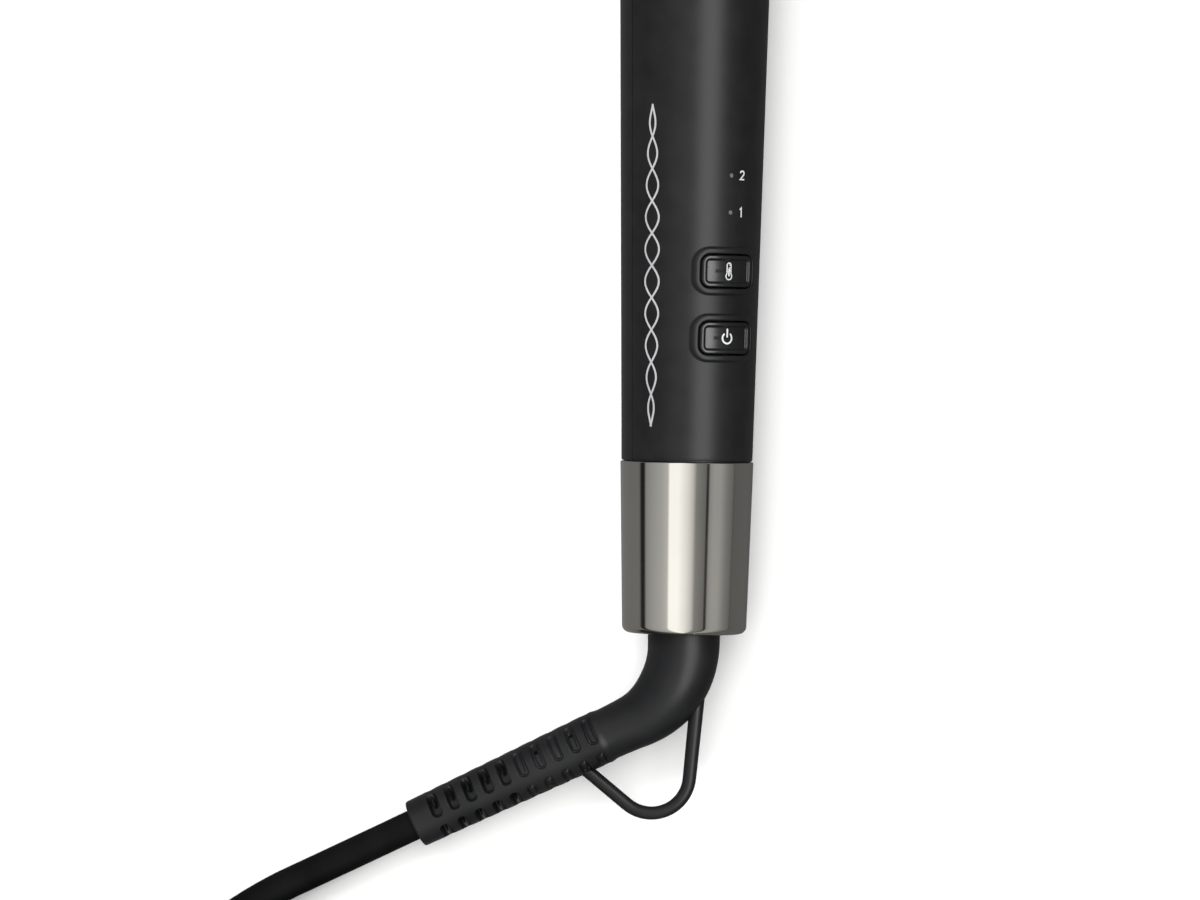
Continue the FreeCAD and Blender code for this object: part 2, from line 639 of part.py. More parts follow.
def hanging_loop():
    """The round rod that leaves the bend, turns back and joins the sleeve."""
    body = new_body("hanging_loop")
    path = new_sketch(body, "XY")
    legs = [FreeCAD.Vector(*point, 0) for point in LOOP_ROUTE]
    outward, inward = (legs[0] - legs[1]).normalize(), (legs[2] - legs[1]).normalize()
    half = outward.getAngle(inward) / 2
    bend = value("loop_bend")
    reach = bend / math.tan(half)
    near, far = legs[1] + outward * reach, legs[1] + inward * reach
    middle = legs[1] + (outward + inward).normalize() * (bend / math.sin(half) - bend)
    path.addGeometry(Part.LineSegment(legs[0], near), False)
    path.addGeometry(Part.Arc(near, middle, far), False)
    path.addGeometry(Part.LineSegment(far, legs[2]), False)
    section = new_sketch(body, "YZ")
    section.AttachmentOffset = FreeCAD.Placement(
        FreeCAD.Vector(legs[0].y, 0, legs[0].x),
        FreeCAD.Rotation(FreeCAD.Vector(0, 1, 0), math.degrees(math.atan2(-outward.y, outward.x))))
    section.addGeometry(Part.Circle(FreeCAD.Vector(), FreeCAD.Vector(0, 0, 1),
                                    value("loop_radius")), False)
    section.addConstraint(Sketcher.Constraint("Coincident", 0, 3, -1, 1))
    index = section.addConstraint(Sketcher.Constraint("Radius", 0, value("loop_radius")))
    section.setExpression(f"Constraints[{index}]", tie("loop_radius"))
    pipe = body.newObject("PartDesign::AdditivePipe", "loop_pipe")
    pipe.Profile = section
    pipe.Spine = (path, ["Edge1", "Edge2", "Edge3"])
    return body


# ---------------------------------------------------------------- barrel and heater

def make_barrel_parts():
    blank = new_body("collar_blank")
    spin(blank, [
        ("handle_end + collar_gap", "barrel_radius + collar_gap"),
        ("handle_end + collar_gap", "collar_rear_radius"),
        ("collar_end - collar_nose", "collar_front_radius"),
        ("collar_end", "collar_front_radius - collar_nose"),
        ("collar_end", "barrel_radius + collar_gap"),
    ])
    pivot_hole = cross_rod("pivot_hole", "stand_pivot", "0", "stand_pin_radius", "handle_end")
    seat(cut_away("barrel_collar", blank, pivot_hole), "barrel_collar")
    turned("barrel", box_outline("barrel_start", "barrel_end", "tip_seat", "barrel_radius"))
    rear, front = "barrel_start - 3 * disc_thickness", "barrel_start - 2 * disc_thickness"
    mica = new_body("insulating_disc")
    spin(mica, box_outline(rear, front, "boss_radius",
                           handle_radius(rear) + " - shell_wall - collar_gap"))
    for side in ("", "0 - "):
        extrude(mica, disc(mica, "YZ", (side + "lead_place", "0"), "lead_radius + running_gap",
                           rear), "2 * disc_thickness", cut=True)
    seat(mica, "insulating_disc", ROLLED)
    core = new_body("heater_core")
    extrude(core, outline(core, "XY", box_outline(
        "core_start", "core_end", "0 - core_width / 2", "core_width / 2"),
        "0 - core_thickness / 2"), "core_thickness")
    seat(core, "heater_core")
    for word, sign in (("upper", ""), ("lower", "0 - ")):
        round_bar = new_body(word + "_round_bar")
        spin(round_bar, box_outline("core_start", "core_end", "0", "tip_seat - spreader_gap"))
        slab = new_body(word + "_slab")
        flat = outline(slab, "XY", box_outline(
            "core_start", "core_end", "0 - barrel_radius", "barrel_radius"),
            f"{sign}(core_thickness / 2 + spreader_gap)")
        feature = extrude(slab, flat, "barrel_radius")
        feature.Reversed = word == "lower"
        half = join("Part::MultiCommon", word + "_heat_spreader", [round_bar, slab])
        seat(half, word + "_heat_spreader")
    fuse = new_body("thermal_fuse")
    spin(fuse, box_outline("core_start - fuse_gap - fuse_length", "core_start - fuse_gap",
                           "0", "fuse_radius"))
    seat(fuse, "thermal_fuse")
    probe = new_body("temperature_sensor")
    spin(probe, box_outline("core_end + probe_gap", "core_end + probe_gap + probe_length",
                            "0", "probe_radius"))
    seat(probe, "temperature_sensor")
    leads = []
    for word, side in (("live", ""), ("neutral", "0 - ")):
        lead = new_body(word + "_lead")
        run = disc(lead, "YZ", (side + "lead_place", "0"), "lead_radius", "board_end + lead_gap")
        extrude(lead, run, "core_start - board_end - 2 * lead_gap")
        leads.append(lead)
    seat(join("Part::Compound", "heater_leads", leads), "heater_leads", ROLLED)


def make_cool_tip():
    body = new_body("cool_tip")
    spin(body, [
        ("barrel_end - tip_plug_length", "0"),
        ("barrel_end - tip_plug_length", "tip_seat - neck_gap"),
        ("barrel_end", "tip_seat - neck_gap"),
        ("barrel_end", "barrel_radius + tip_flange"),
        ("barrel_end + 2 * tip_flange", "barrel_radius + tip_flange"),
        ("barrel_end + 2 * tip_flange + tip_step", "tip_radius - tip_step"),
        ("tip_end", "tip_radius - 2 * tip_step"),
        ("tip_end", "0"),
    ])
    soften(body, "tip_round", lambda edge: abs(edge.BoundBox.XMin - value("tip_end")) < 1e-6)
    seat(body, "cool_tip")


# ---------------------------------------------------------------- hair clamp

def side_plate(name, points, half_width, thickness=None):
    """A plate cut to an outline seen from the side; with a thickness, one of a pair."""
    body = new_body(name)
    if thickness is None:
        extrude(body, outline(body, "XZ", points), f"2 * ({half_width})", both=True)
    else:
        extrude(body, outline(body, "XZ", points, half_width), thickness)
    return body


def cross_rod(name, place, height, radius, half_length):
    """A round rod across the iron."""
    body = new_body(name)
    extrude(body, disc(body, "XZ", (place, height), radius), f"2 * ({half_length})", both=True)
    return body


def make_clamp_bracket():
    saddle = new_body("bracket_saddle")
    spin(saddle, box_outline("pin_place - ear_length / 2", "pin_place + ear_length / 2",
                             "barrel_radius", "barrel_radius + bracket_base"), "saddle_angle")
    top = "pin_height + pin_radius + ear_margin"
    ears = [side_plate(word + "_ear", [
        ("pin_place - ear_length / 2", "barrel_radius * cos(saddle_angle / 2)"),
        ("pin_place + ear_length / 2", "barrel_radius * cos(saddle_angle / 2)"),
        ("pin_place + ear_length / 2", "pin_height"),
        ("pin_place + ear_length / 4", top), ("pin_place - ear_length / 4", top),
        ("pin_place - ear_length / 2", "pin_height"),
    ], start, "ear_thickness") for word, start in (
        ("left", "ear_inner"), ("right", "0 - ear_inner - ear_thickness"))]
    metal = join("Part::MultiFuse", "bracket_metal", [saddle] + ears)
    around = new_body("bracket_bore")
    spin(around, box_outline("barrel_start", "barrel_end", "0", "barrel_radius"))
    hole = cross_rod("bracket_hole", "pin_place", "pin_height", "pin_radius",
                     "ear_inner + 2 * ear_thickness")
    tools = join("Part::MultiFuse", "bracket_tools", [around, hole])
    seat(cut_away("clamp_bracket", metal, tools), "clamp_bracket")

    shaft = cross_rod("pin_shaft", "pin_place", "pin_height", "pin_radius",
                      "ear_inner + ear_thickness")
    head_start = "ear_inner + ear_thickness"
    for start in (head_start, f"0 - {head_start} - ear_thickness"):
        extrude(shaft, disc(shaft, "XZ", ("pin_place", "pin_height"), "pin_head_radius", start),
                "ear_thickness")
    seat(shaft, "clamp_pin")


def make_clamp():
    blank = new_body("clamp_blank")
    inner = "barrel_radius + clamp_gap"
    spin(blank, [
        ("clamp_start", inner), ("clamp_start", inner + " + clamp_wall"),
        ("clamp_end", inner + " + clamp_wall"), ("clamp_end", inner),
    ], "clamp_angle")
    half_width = "((barrel_radius + clamp_gap + clamp_wall) * sin(clamp_angle / 2))"
    trim = new_body("clamp_trim")
    extrude(trim, outline(trim, "XY", box_outline(
        "clamp_start", "clamp_end", "0 - " + half_width, half_width)), "2 * barrel_radius")
    soften(trim, "clamp_corner", lambda edge: along(edge, 2)
           and edge.BoundBox.XMin > value("clamp_end") - 1)
    seat(join("Part::MultiCommon", "clamp_plate", [blank, trim]), "clamp_plate")

    low, high = "lever_tail_height", "lever_tail_top"
    hub_top = "pin_height + hub_radius"
    arm = side_plate("lever_arm", [
        ("clamp_start + lever_foot", "clamp_top"),
        ("clamp_start + lever_foot", "clamp_top + lever_toe"),
        ("clamp_start + 2 * lever_toe", "clamp_top + lever_thickness"),
        ("pin_place", hub_top + " + lever_toe"),
        ("pin_place - lever_knee", hub_top + " + lever_rise"),
        ("lever_tail", high), ("lever_tail", low),
        ("pin_place - lever_knee - lever_toe", hub_top + " + lever_toe"),
        ("pin_place - hub_radius", "pin_height - hub_drop"),
        ("pin_place + hub_radius", "pin_height - hub_drop"),
        ("clamp_start", "clamp_top"),
    ], "lever_width / 2")
    hub = cross_rod("lever_hub", "pin_place", "pin_height", "hub_radius", "lever_width / 2")
    pad = side_plate("lever_pad", [
        ("lever_tail - pad_back", low + " + pad_rise"),
        ("lever_tail + pad_front", low + " - pad_drop"),
        ("lever_tail + pad_front", high + " - pad_drop"),
        ("lever_tail + pad_crown", high + " + pad_rise / 2"),
        ("lever_tail - pad_back", high + " + pad_rise"),
    ], "pad_width / 2")
    lever = join("Part::MultiFuse", "lever_solid", [arm, hub, pad])
    bores = [cross_rod("lever_bore", "pin_place", "pin_height", "pin_radius + running_gap",
                       "lever_width")]
    rivets = []
    for step in range(2):
        place = f"clamp_start + rivet_inset + {step} * rivet_spacing"
        for kind, made in (("rivet", rivets), ("rivet_hole", bores)):
            rod = new_body(f"{kind}_{step}")
            extrude(rod, disc(rod, "XY", (place, "0"), "rivet_radius", "clamp_top + rivet_sink"),
                    "rivet_length")
            made.append(rod)
    tools = join("Part::Compound", "lever_bores", bores)
    seat(cut_away("thumb_lever", lever, tools), "thumb_lever")
    seat(join("Part::Compound", "lever_rivets", rivets), "lever_rivets")


def make_clamp_spring():
    """A torsion spring: coils round the pin beside the hub, and a leg on the barrel."""
    pitch, radius = value("spring_pitch"), value("hub_radius + spring_gap")
    helix = Part.makeHelix(pitch, pitch * value("spring_turns"), radius)
    wire = Part.Wire(helix.Edges)
    start = wire.Edges[0].valueAt(wire.Edges[0].FirstParameter)
    section = Part.Wire(Part.makeCircle(value("spring_wire") / 2, start,
                                        FreeCAD.Vector(0, radius, pitch / 2 / math.pi)))
    spring = doc.addObject("Part::Feature", "clamp_spring")
    spring.Shape = wire.makePipeShell([section], True, True)
    beside_hub = "placement(vector(pin_place; {}; pin_height); rotation(0; 0; 90))"
    seat(spring, "clamp_spring",
         LEVEL + " * " + beside_hub.format("ear_inner - spring_wire / 2 - running_gap"))


# ---------------------------------------------------------------- folding stand

def make_stand():
    """A wire bail: two legs from the collar's sides to a cross bar under the barrel."""
    side, foot = value("stand_half_width"), value("stand_foot_half_width")
    pivot, end = value("stand_pivot"), value("stand_foot")
    drop, wire = value("stand_drop - stand_wire"), value("stand_wire")
    bend = value("stand_bend")
    corners = [
        FreeCAD.Vector(pivot, -side, 0), FreeCAD.Vector(end, -foot, -drop),
        FreeCAD.Vector(end, foot, -drop), FreeCAD.Vector(pivot, side, 0)]
    path = bent_path(corners, [bend, bend])
    section = Part.Wire(Part.makeCircle(wire, corners[0], corners[1] - corners[0]))
    rod = path.makePipeShell([section], True, True)
    eyes = [Part.makeCylinder(value("stand_eye_radius"), 2 * wire, FreeCAD.Vector(pivot, y - wire, 0),
                              FreeCAD.Vector(0, 1, 0)) for y in (-side, side)]
    bore = Part.makeCylinder(value("stand_pin_radius + running_gap"), 4 * side,
                             FreeCAD.Vector(pivot, -2 * side, 0), FreeCAD.Vector(0, 1, 0))
    stand = doc.addObject("Part::Feature", "stand")
    stand.Shape = rod.fuse(eyes).cut(bore).removeSplitter()
    seat(stand, "stand")
    pins = []
    for word, sign in (("left", ""), ("right", "0 - ")):
        pin = new_body(word + "_stand_pin")
        inner = "collar_front_radius - stand_pin_seat"
        outer = "stand_half_width + stand_wire + stand_pin_gap"
        for radius, low, high in (("stand_pin_radius", inner, outer),
                                  ("2 * stand_pin_radius", outer, outer + " + stand_pin_head")):
            start = low if word == "left" else f"0 - ({high})"
            extrude(pin, disc(pin, "XZ", ("stand_pivot", "0"), radius, start),
                    f"({high}) - ({low})")
        pins.append(pin)
    seat(join("Part::Compound", "stand_pins", pins), "stand_pins")


# ---------------------------------------------------------------- cord, coil and plug

def bent_path(points, radii):
    """Straight runs through the points, joined by arcs tangent to both their runs."""
    edges, start = [], points[0]
    for index, radius in enumerate(radii, 1):
        before = (points[index - 1] - points[index]).normalize()
        after = (points[index + 1] - points[index]).normalize()
        half = before.getAngle(after) / 2
        reach = radius / math.tan(half)
        near, far = points[index] + before * reach, points[index] + after * reach
        middle = points[index] + (before + after).normalize() * (radius / math.sin(half) - radius)
        edges.append(Part.LineSegment(start, near).toShape())
        edges.append(Part.Arc(near, middle, far).toShape())
        start = far
    edges.append(Part.LineSegment(start, points[-1]).toShape())
    return Part.Wire(edges)


def cord_radii(points):
    """The largest tidy arc at each turn: 0.45 of the shorter run, over half the turn's tangent."""
    radii = []
    for before, here, after in zip(points, points[1:], points[2:]):
        turn = (here - before).getAngle(after - here)
        shorter = min((here - before).Length, (after - here).Length)
        radii.append(0.45 * shorter / math.tan(turn / 2))
    return radii


def guard_mouth():
    """The middle of the guard's end face, as the cord's points are given."""
    reach = value("guard_length")
    turn = math.radians(value("guard_turn"))
    flat = FreeCAD.Vector(value("bend_x") - reach * math.cos(turn),
                          value("bend_y") + reach * math.sin(turn), 0)
    place = FreeCAD.Placement(
        FreeCAD.Vector(0, 0, value("axis_height")),
        FreeCAD.Rotation(0, -value("tilt"), -value("guard_droop")))
    return place.multVec(flat)


# The cord from the guard to its coil, and from the coil to the plug, on the surface:
# X from the collar's tail, as for the coil and the plug.
LEAD_ROUTE = [
    (-50.9, 74.5, 4.1), (-59.2, 91.6, 3.3), (-73.2, 109.4, 3.3), (-93.4, 121.2, 3.3),
]
TAIL_ROUTE = [
    (-112.9, 129.6, 6.3), (-134.7, 127.0, 3.6), (-153.2, 113.6, 3.3), (-163.6, 92.6, 3.3),
    (-163.2, 70.8, 3.3),
]


def make_tube(node, points):
    radii = cord_radii(points)
    print(node, "arc radii", [round(radius, 1) for radius in radii])
    path = bent_path(points, radii)
    section = Part.Wire(Part.makeCircle(value("cord_radius"), points[0], points[1] - points[0]))
    tube = path.makePipeShell([section], True, True)
    expected = math.pi * value("cord_radius") ** 2 * path.Length
    print(node, "volume", round(tube.Volume, 1), "section times length", round(expected, 1),
          "length", round(path.Length, 1))
    if abs(tube.Volume / expected - 1) > 0.01:
        raise RuntimeError(node + " is not as long as its path")
    return tube


def make_cord():
    lead = [guard_mouth()] + [FreeCAD.Vector(*point) for point in LEAD_ROUTE]
    plug_end = value("plug_y + plug_length / 2 + grommet_length")
    tail = [FreeCAD.Vector(*point) for point in TAIL_ROUTE]
    tail.append(FreeCAD.Vector(value("plug_x"), plug_end, value("plug_thickness / 2")))
    for node, points in (("mains_cord", lead), ("cord_tail", tail)):
        tube = doc.addObject("Part::Feature", node)
        tube.Shape = make_tube(node, points)
        seat(tube, node, LYING)

    coil = new_body("cord_coil")
    ring = outline(coil, "XZ", [
        ("coil_inner", "cord_radius"), ("coil_inner + cord_radius", "0"),
        ("coil_outer - cord_radius", "0"), ("coil_outer", "cord_radius"),
        ("coil_outer", "coil_height - cord_radius"),
        ("coil_outer - cord_radius", "coil_height"),
        ("coil_inner + cord_radius", "coil_height"),
        ("coil_inner", "coil_height - cord_radius"),
    ])
    feature = coil.newObject("PartDesign::Revolution", "coil_turned")
    feature.Profile = ring
    feature.ReferenceAxis = (ring, ["V_Axis"])
    seat(coil, "cord_coil", COILED.format(turn="0"))

    tie_band = new_body("cord_tie")
    extrude(tie_band, outline(tie_band, "XZ", box_outline(
        "coil_inner - tie_thickness", "coil_outer + tie_thickness",
        "0", "coil_height + tie_thickness")), "tie_width", both=True)
    extrude(tie_band, outline(tie_band, "XZ", box_outline(
        "coil_inner", "coil_outer", "tie_thickness", "coil_height")),
        "tie_width", both=True, cut=True)
    seat(tie_band, "cord_tie", COILED.format(turn="0 - tie_turn"))


def make_plug():
    body = new_body("plug_blank")
    half, nose = "plug_width / 2", "plug_nose_width / 2"
    front, back = "0 - plug_length / 2", "plug_length / 2"
    extrude(body, outline(body, "XY", [
        (f"0 - {nose}", front), (nose, front), (half, "0 - plug_length / 2 + plug_taper"),
        (half, "plug_length / 2 - 2 * plug_taper"), ("plug_back", back),
        ("0 - plug_back", back), (f"0 - {half}", "plug_length / 2 - 2 * plug_taper"),
        (f"0 - {half}", "0 - plug_length / 2 + plug_taper"),
    ]), "plug_thickness")
    soften(body, "plug_round", lambda edge: edge.BoundBox.ZMax < 1e-6
           or edge.BoundBox.ZMin > value("plug_thickness") - 1e-6)
    bores = [plug_rod(f"prong_bore_{side}", side, "shank_radius", "prong_seat", "prong_seat")
             for side in (-1, 1)]
    seat(cut_away("plug_body", body, join("Part::Compound", "prong_bores", bores)),
         "plug_body", PLUGGED)

    grommet = new_body("plug_grommet")
    half_thick = "plug_thickness / 2"
    sketch = outline(grommet, "XY", [
        ("0", back), ("grommet_radius", back),
        ("grommet_end_radius", f"{back} + grommet_length"), ("0", f"{back} + grommet_length"),
    ], half_thick)
    feature = grommet.newObject("PartDesign::Revolution", "grommet_turned")
    feature.Profile = sketch
    feature.ReferenceAxis = (sketch, ["V_Axis"])
    seat(grommet, "plug_grommet", PLUGGED)

    prongs = []
    for side in (-1, 1):
        prong = plug_rod(f"prong_{side}", side, "shank_radius", "prong_seat",
                         "prong_seat + shank_length")
        tip = disc(prong, "XZ", (f"{side} * prong_spacing / 2", "plug_thickness / 2"),
                   "prong_radius", "plug_length / 2 + shank_length")
        extrude(prong, tip, "prong_length - shank_length")
        soften(prong, "prong_round",
               lambda edge: edge.BoundBox.YMax < 0.1 - value("plug_length / 2 + prong_length"))
        prongs.append(prong)
    seat(join("Part::Compound", "plug_pins", prongs), "plug_pins", PLUGGED)


def plug_rod(name, side, radius, seat_depth, length):
    """A round rod along the plug, from a depth inside its front face outwards."""
    body = new_body(name)
    sketch = disc(body, "XZ", (f"{side} * prong_spacing / 2", "plug_thickness / 2"), radius,
                  f"plug_length / 2 - {seat_depth}")
    extrude(body, sketch, length)
    return body


make_end_collar()
make_front_shell()
make_rear_shell()
make_shell_screws()
for word, place in BUTTONS:
    make_button(word, place)
    make_switch(word, place)
make_circuit_board()
make_swivel()
make_cord_guard()
make_barrel_parts()
make_cool_tip()
make_clamp_bracket()
make_clamp()
make_clamp_spring()
make_stand()
make_cord()
make_plug()


def write_out():
    doc.recompute()
    for item in doc.Objects:
        if "Invalid" in item.State or "Error" in item.State:
            raise RuntimeError(f"{item.Name} did not build: {item.State} {item.getStatusString()}")
    os.makedirs("parts", exist_ok=True)
    for item in SUBPARTS:
        shape = item.Shape
        if shape.isNull() or not shape.isValid():
            raise RuntimeError(f"{item.Label} has no valid shape")
        shape.exportStep(f"parts/{item.Label}.step")
        print(f"{item.Label}: {len(shape.Solids)} solid, {shape.Volume:.1f} mm3")


write_out()
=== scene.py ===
"""A clamp curling iron lying on a pale floor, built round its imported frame."""
import json
import math

import bmesh
import bpy
from bpy.props import FloatProperty, FloatVectorProperty, IntProperty, PointerProperty
from mathutils import Matrix, Vector

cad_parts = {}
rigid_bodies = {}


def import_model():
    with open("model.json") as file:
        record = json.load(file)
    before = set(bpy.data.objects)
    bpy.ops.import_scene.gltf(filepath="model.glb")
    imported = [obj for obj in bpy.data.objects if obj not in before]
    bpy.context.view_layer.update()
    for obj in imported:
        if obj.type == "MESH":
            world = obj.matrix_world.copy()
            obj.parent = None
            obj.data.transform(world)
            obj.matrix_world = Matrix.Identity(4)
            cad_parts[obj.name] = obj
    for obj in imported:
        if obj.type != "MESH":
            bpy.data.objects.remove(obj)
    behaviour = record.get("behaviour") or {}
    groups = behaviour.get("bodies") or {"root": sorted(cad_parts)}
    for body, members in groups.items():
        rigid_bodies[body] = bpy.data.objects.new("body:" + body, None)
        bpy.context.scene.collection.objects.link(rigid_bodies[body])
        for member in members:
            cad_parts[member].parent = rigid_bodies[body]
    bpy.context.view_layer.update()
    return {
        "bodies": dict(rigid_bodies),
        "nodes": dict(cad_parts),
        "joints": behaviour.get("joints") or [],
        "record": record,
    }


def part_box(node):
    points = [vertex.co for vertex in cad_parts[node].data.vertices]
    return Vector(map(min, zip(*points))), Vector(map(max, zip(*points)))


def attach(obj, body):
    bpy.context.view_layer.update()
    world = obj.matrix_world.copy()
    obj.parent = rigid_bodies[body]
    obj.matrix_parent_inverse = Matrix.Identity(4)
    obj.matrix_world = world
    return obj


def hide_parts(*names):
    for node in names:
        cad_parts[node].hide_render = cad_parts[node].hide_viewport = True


bl_info = {
    "name": "Curling iron",
    "version": (1, 0, 0),
    "blender": (4, 5, 0),
    "location": "View3D > Sidebar > Curling iron",
    "description": "Builds a clamp curling iron with its cord round the packed frame",
    "category": "Object",
}

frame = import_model()
NODES = frame["nodes"]
JOINTS = {joint["name"]: joint for joint in frame["joints"]}

MM = 0.001
SWIVEL_PLACE = 4.6      # how far the swivel's bearing is from the collar's tail, in mm

# ------------------------------------------------------------------ places along the iron


def iron_frame(turn=0.0):
    """Takes mm along the iron (X), across it (Y) and above it (Z) to the row's metres."""
    along = Vector(JOINTS["cord_swivel"]["axis"]).normalized()
    across = Vector((0, 1, 0))
    above = along.cross(across)
    origin = Vector(JOINTS["cord_swivel"]["pos_m"]) - along * SWIVEL_PLACE * MM
    turned = Matrix.Rotation(turn, 3, "X")
    axes = Matrix((along, across, above)).transposed() @ turned
    return Matrix.Translation(origin) @ axes.to_4x4() @ Matrix.Scale(MM, 4)


def button_turn():
    """How far the buttons face round from straight up, from their own slides."""
    above = -Vector(JOINTS["power_button_press"]["axis"])
    return math.atan2(-above.y, above.z)


def middle_of(name, frame):
    """Where the middle of a CAD node is along the iron, in mm."""
    low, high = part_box(name)
    return (frame.inverted() @ Vector([(low[axis] + high[axis]) / 2 for axis in range(3)])).x


# ------------------------------------------------------------------ what a user would change

def plain(name, description, default):
    """A number, in millimetres where it is a size."""
    return FloatProperty(name=name, description=description, default=default)


def metres(name, description, default):
    """A size in metres."""
    return FloatProperty(name=name, description=description, default=default, unit="LENGTH")


def degrees(name, description, default):
    """An angle, given in degrees."""
    return FloatProperty(name=name, description=description, default=math.radians(default),
                         subtype="ANGLE")


class IronSizes(bpy.types.PropertyGroup):
    """Sizes of the handle, the collar and the buttons, in millimetres."""
    collar_length: plain("Collar length", "Length of the metal end collar", 36.5)
    collar_tail: plain("Collar tail radius", "Radius of the collar at its tail", 13.2)
    collar_front: plain("Collar front radius", "Radius where it meets the handle", 14.15)
    collar_wall: plain("Collar wall", "Thickness of the metal", 0.8)
    handle_end: plain("Handle end", "Where the handle shells end", 171.0)
    handle_tail: plain("Handle tail radius", "Radius beside the collar", 13.94)
    handle_front: plain("Handle front radius", "Radius at the barrel's end", 16.55)
    button_width: plain("Button width", "Width of a cap round the handle", 12.4)
    button_length: plain("Button length", "Length of a cap along the handle", 6.7)


class BarrelSizes(bpy.types.PropertyGroup):
    """Sizes of the barrel, in millimetres."""
    barrel_end: plain("Barrel end", "Where the barrel ends", 325.0)
    barrel_radius: plain("Barrel radius", "Radius of the barrel", 12.5)


class GuardSizes(bpy.types.PropertyGroup):
    """Sizes of the cord guard and its hanging loop, in millimetres."""
    droop: degrees("Droop", "How far the guard hangs round the swivel", 6.0)
    root_radius: plain("Root radius", "Radius where it leaves the collar", 7.65)
    bend_start: plain("Bend start", "Straight length before the bend", 2.5)
    bend_radius: plain("Bend radius", "Radius of the bend's middle line", 18.5)
    turn: degrees("Turn", "How far the guard bends", 63.7)
    neck_radius: plain("Neck radius", "Radius after the bend", 5.6)
    plain_length: plain("Plain length", "Plain length after the bend", 7.9)
    sleeve_radius: plain("Sleeve radius", "Radius where the slots start", 5.85)
    end_radius: plain("End radius", "Radius at the cord's end", 5.15)
    length: plain("Length", "Length after the bend", 52.0)
    slot_pitch: plain("Slot pitch", "Distance from slot to slot", 4.1)
    slot_width: plain("Slot width", "Width of a slot along the guard", 2.05)
    slot_start: plain("Slot start", "Middle of the first slot", 9.1)
    slot_count: IntProperty(
        name="Slots in a row", description="How many slots each row has", default=10)
    slot_half_angle: degrees("Slot half angle", "Half of a slot's length round the guard", 33.0)
    row_turn: degrees("Row turn", "Where the first row of slots is", 25.0)
    loop_radius: plain("Loop radius", "Radius of the hanging loop's rod", 1.42)


class CordSizes(bpy.types.PropertyGroup):
    """The mains lead and its plug, in metres."""
    diameter: metres("Diameter", "Thickness of the lead", 0.0066)
    coil_x: metres("Coil X", "Middle of the coil, from the tail", -0.1115)
    coil_y: metres("Coil Y", "Middle of the coil", 0.078)
    coil_radius: metres("Coil radius", "Radius of the coil's middle turns", 0.0395)
    plug_x: metres("Plug X", "Middle of the plug, from the tail", -0.163)
    plug_y: metres("Plug Y", "Middle of the plug", 0.008)
    plug_length: metres("Plug length", "Length of its body", 0.036)
    plug_thickness: metres("Plug thickness", "Height of its body", 0.0137)
    pin_spacing: metres("Pin spacing", "Distance between its pins", 0.0186)
    relief_length: metres("Relief length", "Length of the plug's strain relief", 0.024)
    turns: IntProperty(name="Turns", description="How many turns the coil has", default=6)


class StageSettings(bpy.types.PropertyGroup):
    """Floor, light and camera."""
    floor_colour: FloatVectorProperty(
        name="Floor", description="Colour of the floor", subtype="COLOR",
        default=(0.93, 0.93, 0.93))
    sky_strength: plain("Studio strength", "Strength of the light from all round", 1.0)
    key_strength: plain("Key strength", "Strength of the key light, in watts", 9.0)
    fill_strength: plain("Fill strength", "Strength of the overhead fill, in watts", 8.5)
    strip_strength: plain("Strip strength", "Strength of the strip light, in watts", 44.0)
    strip_lean: degrees("Strip lean", "How far the strip light leans from straight over", 27.0)
    camera_height: metres("Camera height", "Height over the floor", 1.45)
    view_width: metres("View width", "Width seen at the iron's axis", 0.2553)
    camera_roll: degrees("Camera roll", "Roll of the camera", 0.955)


# ------------------------------------------------------------------ mesh tools

SHARP_ANGLE = math.radians(55.0)


def in_scene(item):
    """Adds an object to the scene."""
    bpy.context.scene.collection.objects.link(item)
    return item


def finished(name, mesh, place, finish, body, smooth=True):
    """Puts a mesh made in mm on the iron, gives it its finish and joins it to its body."""
    mesh.transform(place)
    mesh.validate()
    mesh.materials.append(FINISHES[finish])
    for polygon in mesh.polygons:
        polygon.use_smooth = smooth
    if smooth:
        mesh.set_sharp_from_angle(angle=SHARP_ANGLE)
    piece = in_scene(bpy.data.objects.new(name, mesh))
    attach(piece, body)
    return piece


def surface(name, rows, close_rows=False, close_columns=False, caps=False):
    """A mesh through rows of points. Rows may close into a ring, and so may the whole."""
    points = [point for row in rows for point in row]
    width = len(rows[0])
    faces = []
    for row in range(len(rows) if close_columns else len(rows) - 1):
        after = (row + 1) % len(rows)
        for column in range(width if close_rows else width - 1):
            beside = (column + 1) % width
            faces.append((row * width + column, row * width + beside,
                          after * width + beside, after * width + column))
    if caps:
        faces.append(tuple(reversed(range(width))))
        faces.append(tuple(range((len(rows) - 1) * width, len(rows) * width)))
    mesh = bpy.data.meshes.new(name)
    mesh.from_pydata(points, [], faces)
    box = bmesh.new()
    box.from_mesh(mesh)
    bmesh.ops.recalc_face_normals(box, faces=box.faces)
    box.to_mesh(mesh)
    box.free()
    return mesh


def ring_row(place, radius, count):
    return [Vector((place, radius * math.cos(math.tau * step / count),
                    radius * math.sin(math.tau * step / count))) for step in range(count)]


def lathe(name, profile, count=256):
    """Turns a closed profile of (place, radius) about the iron's axis."""
    return surface(name, [ring_row(place, radius, count) for place, radius in profile],
                   close_rows=True, close_columns=True)


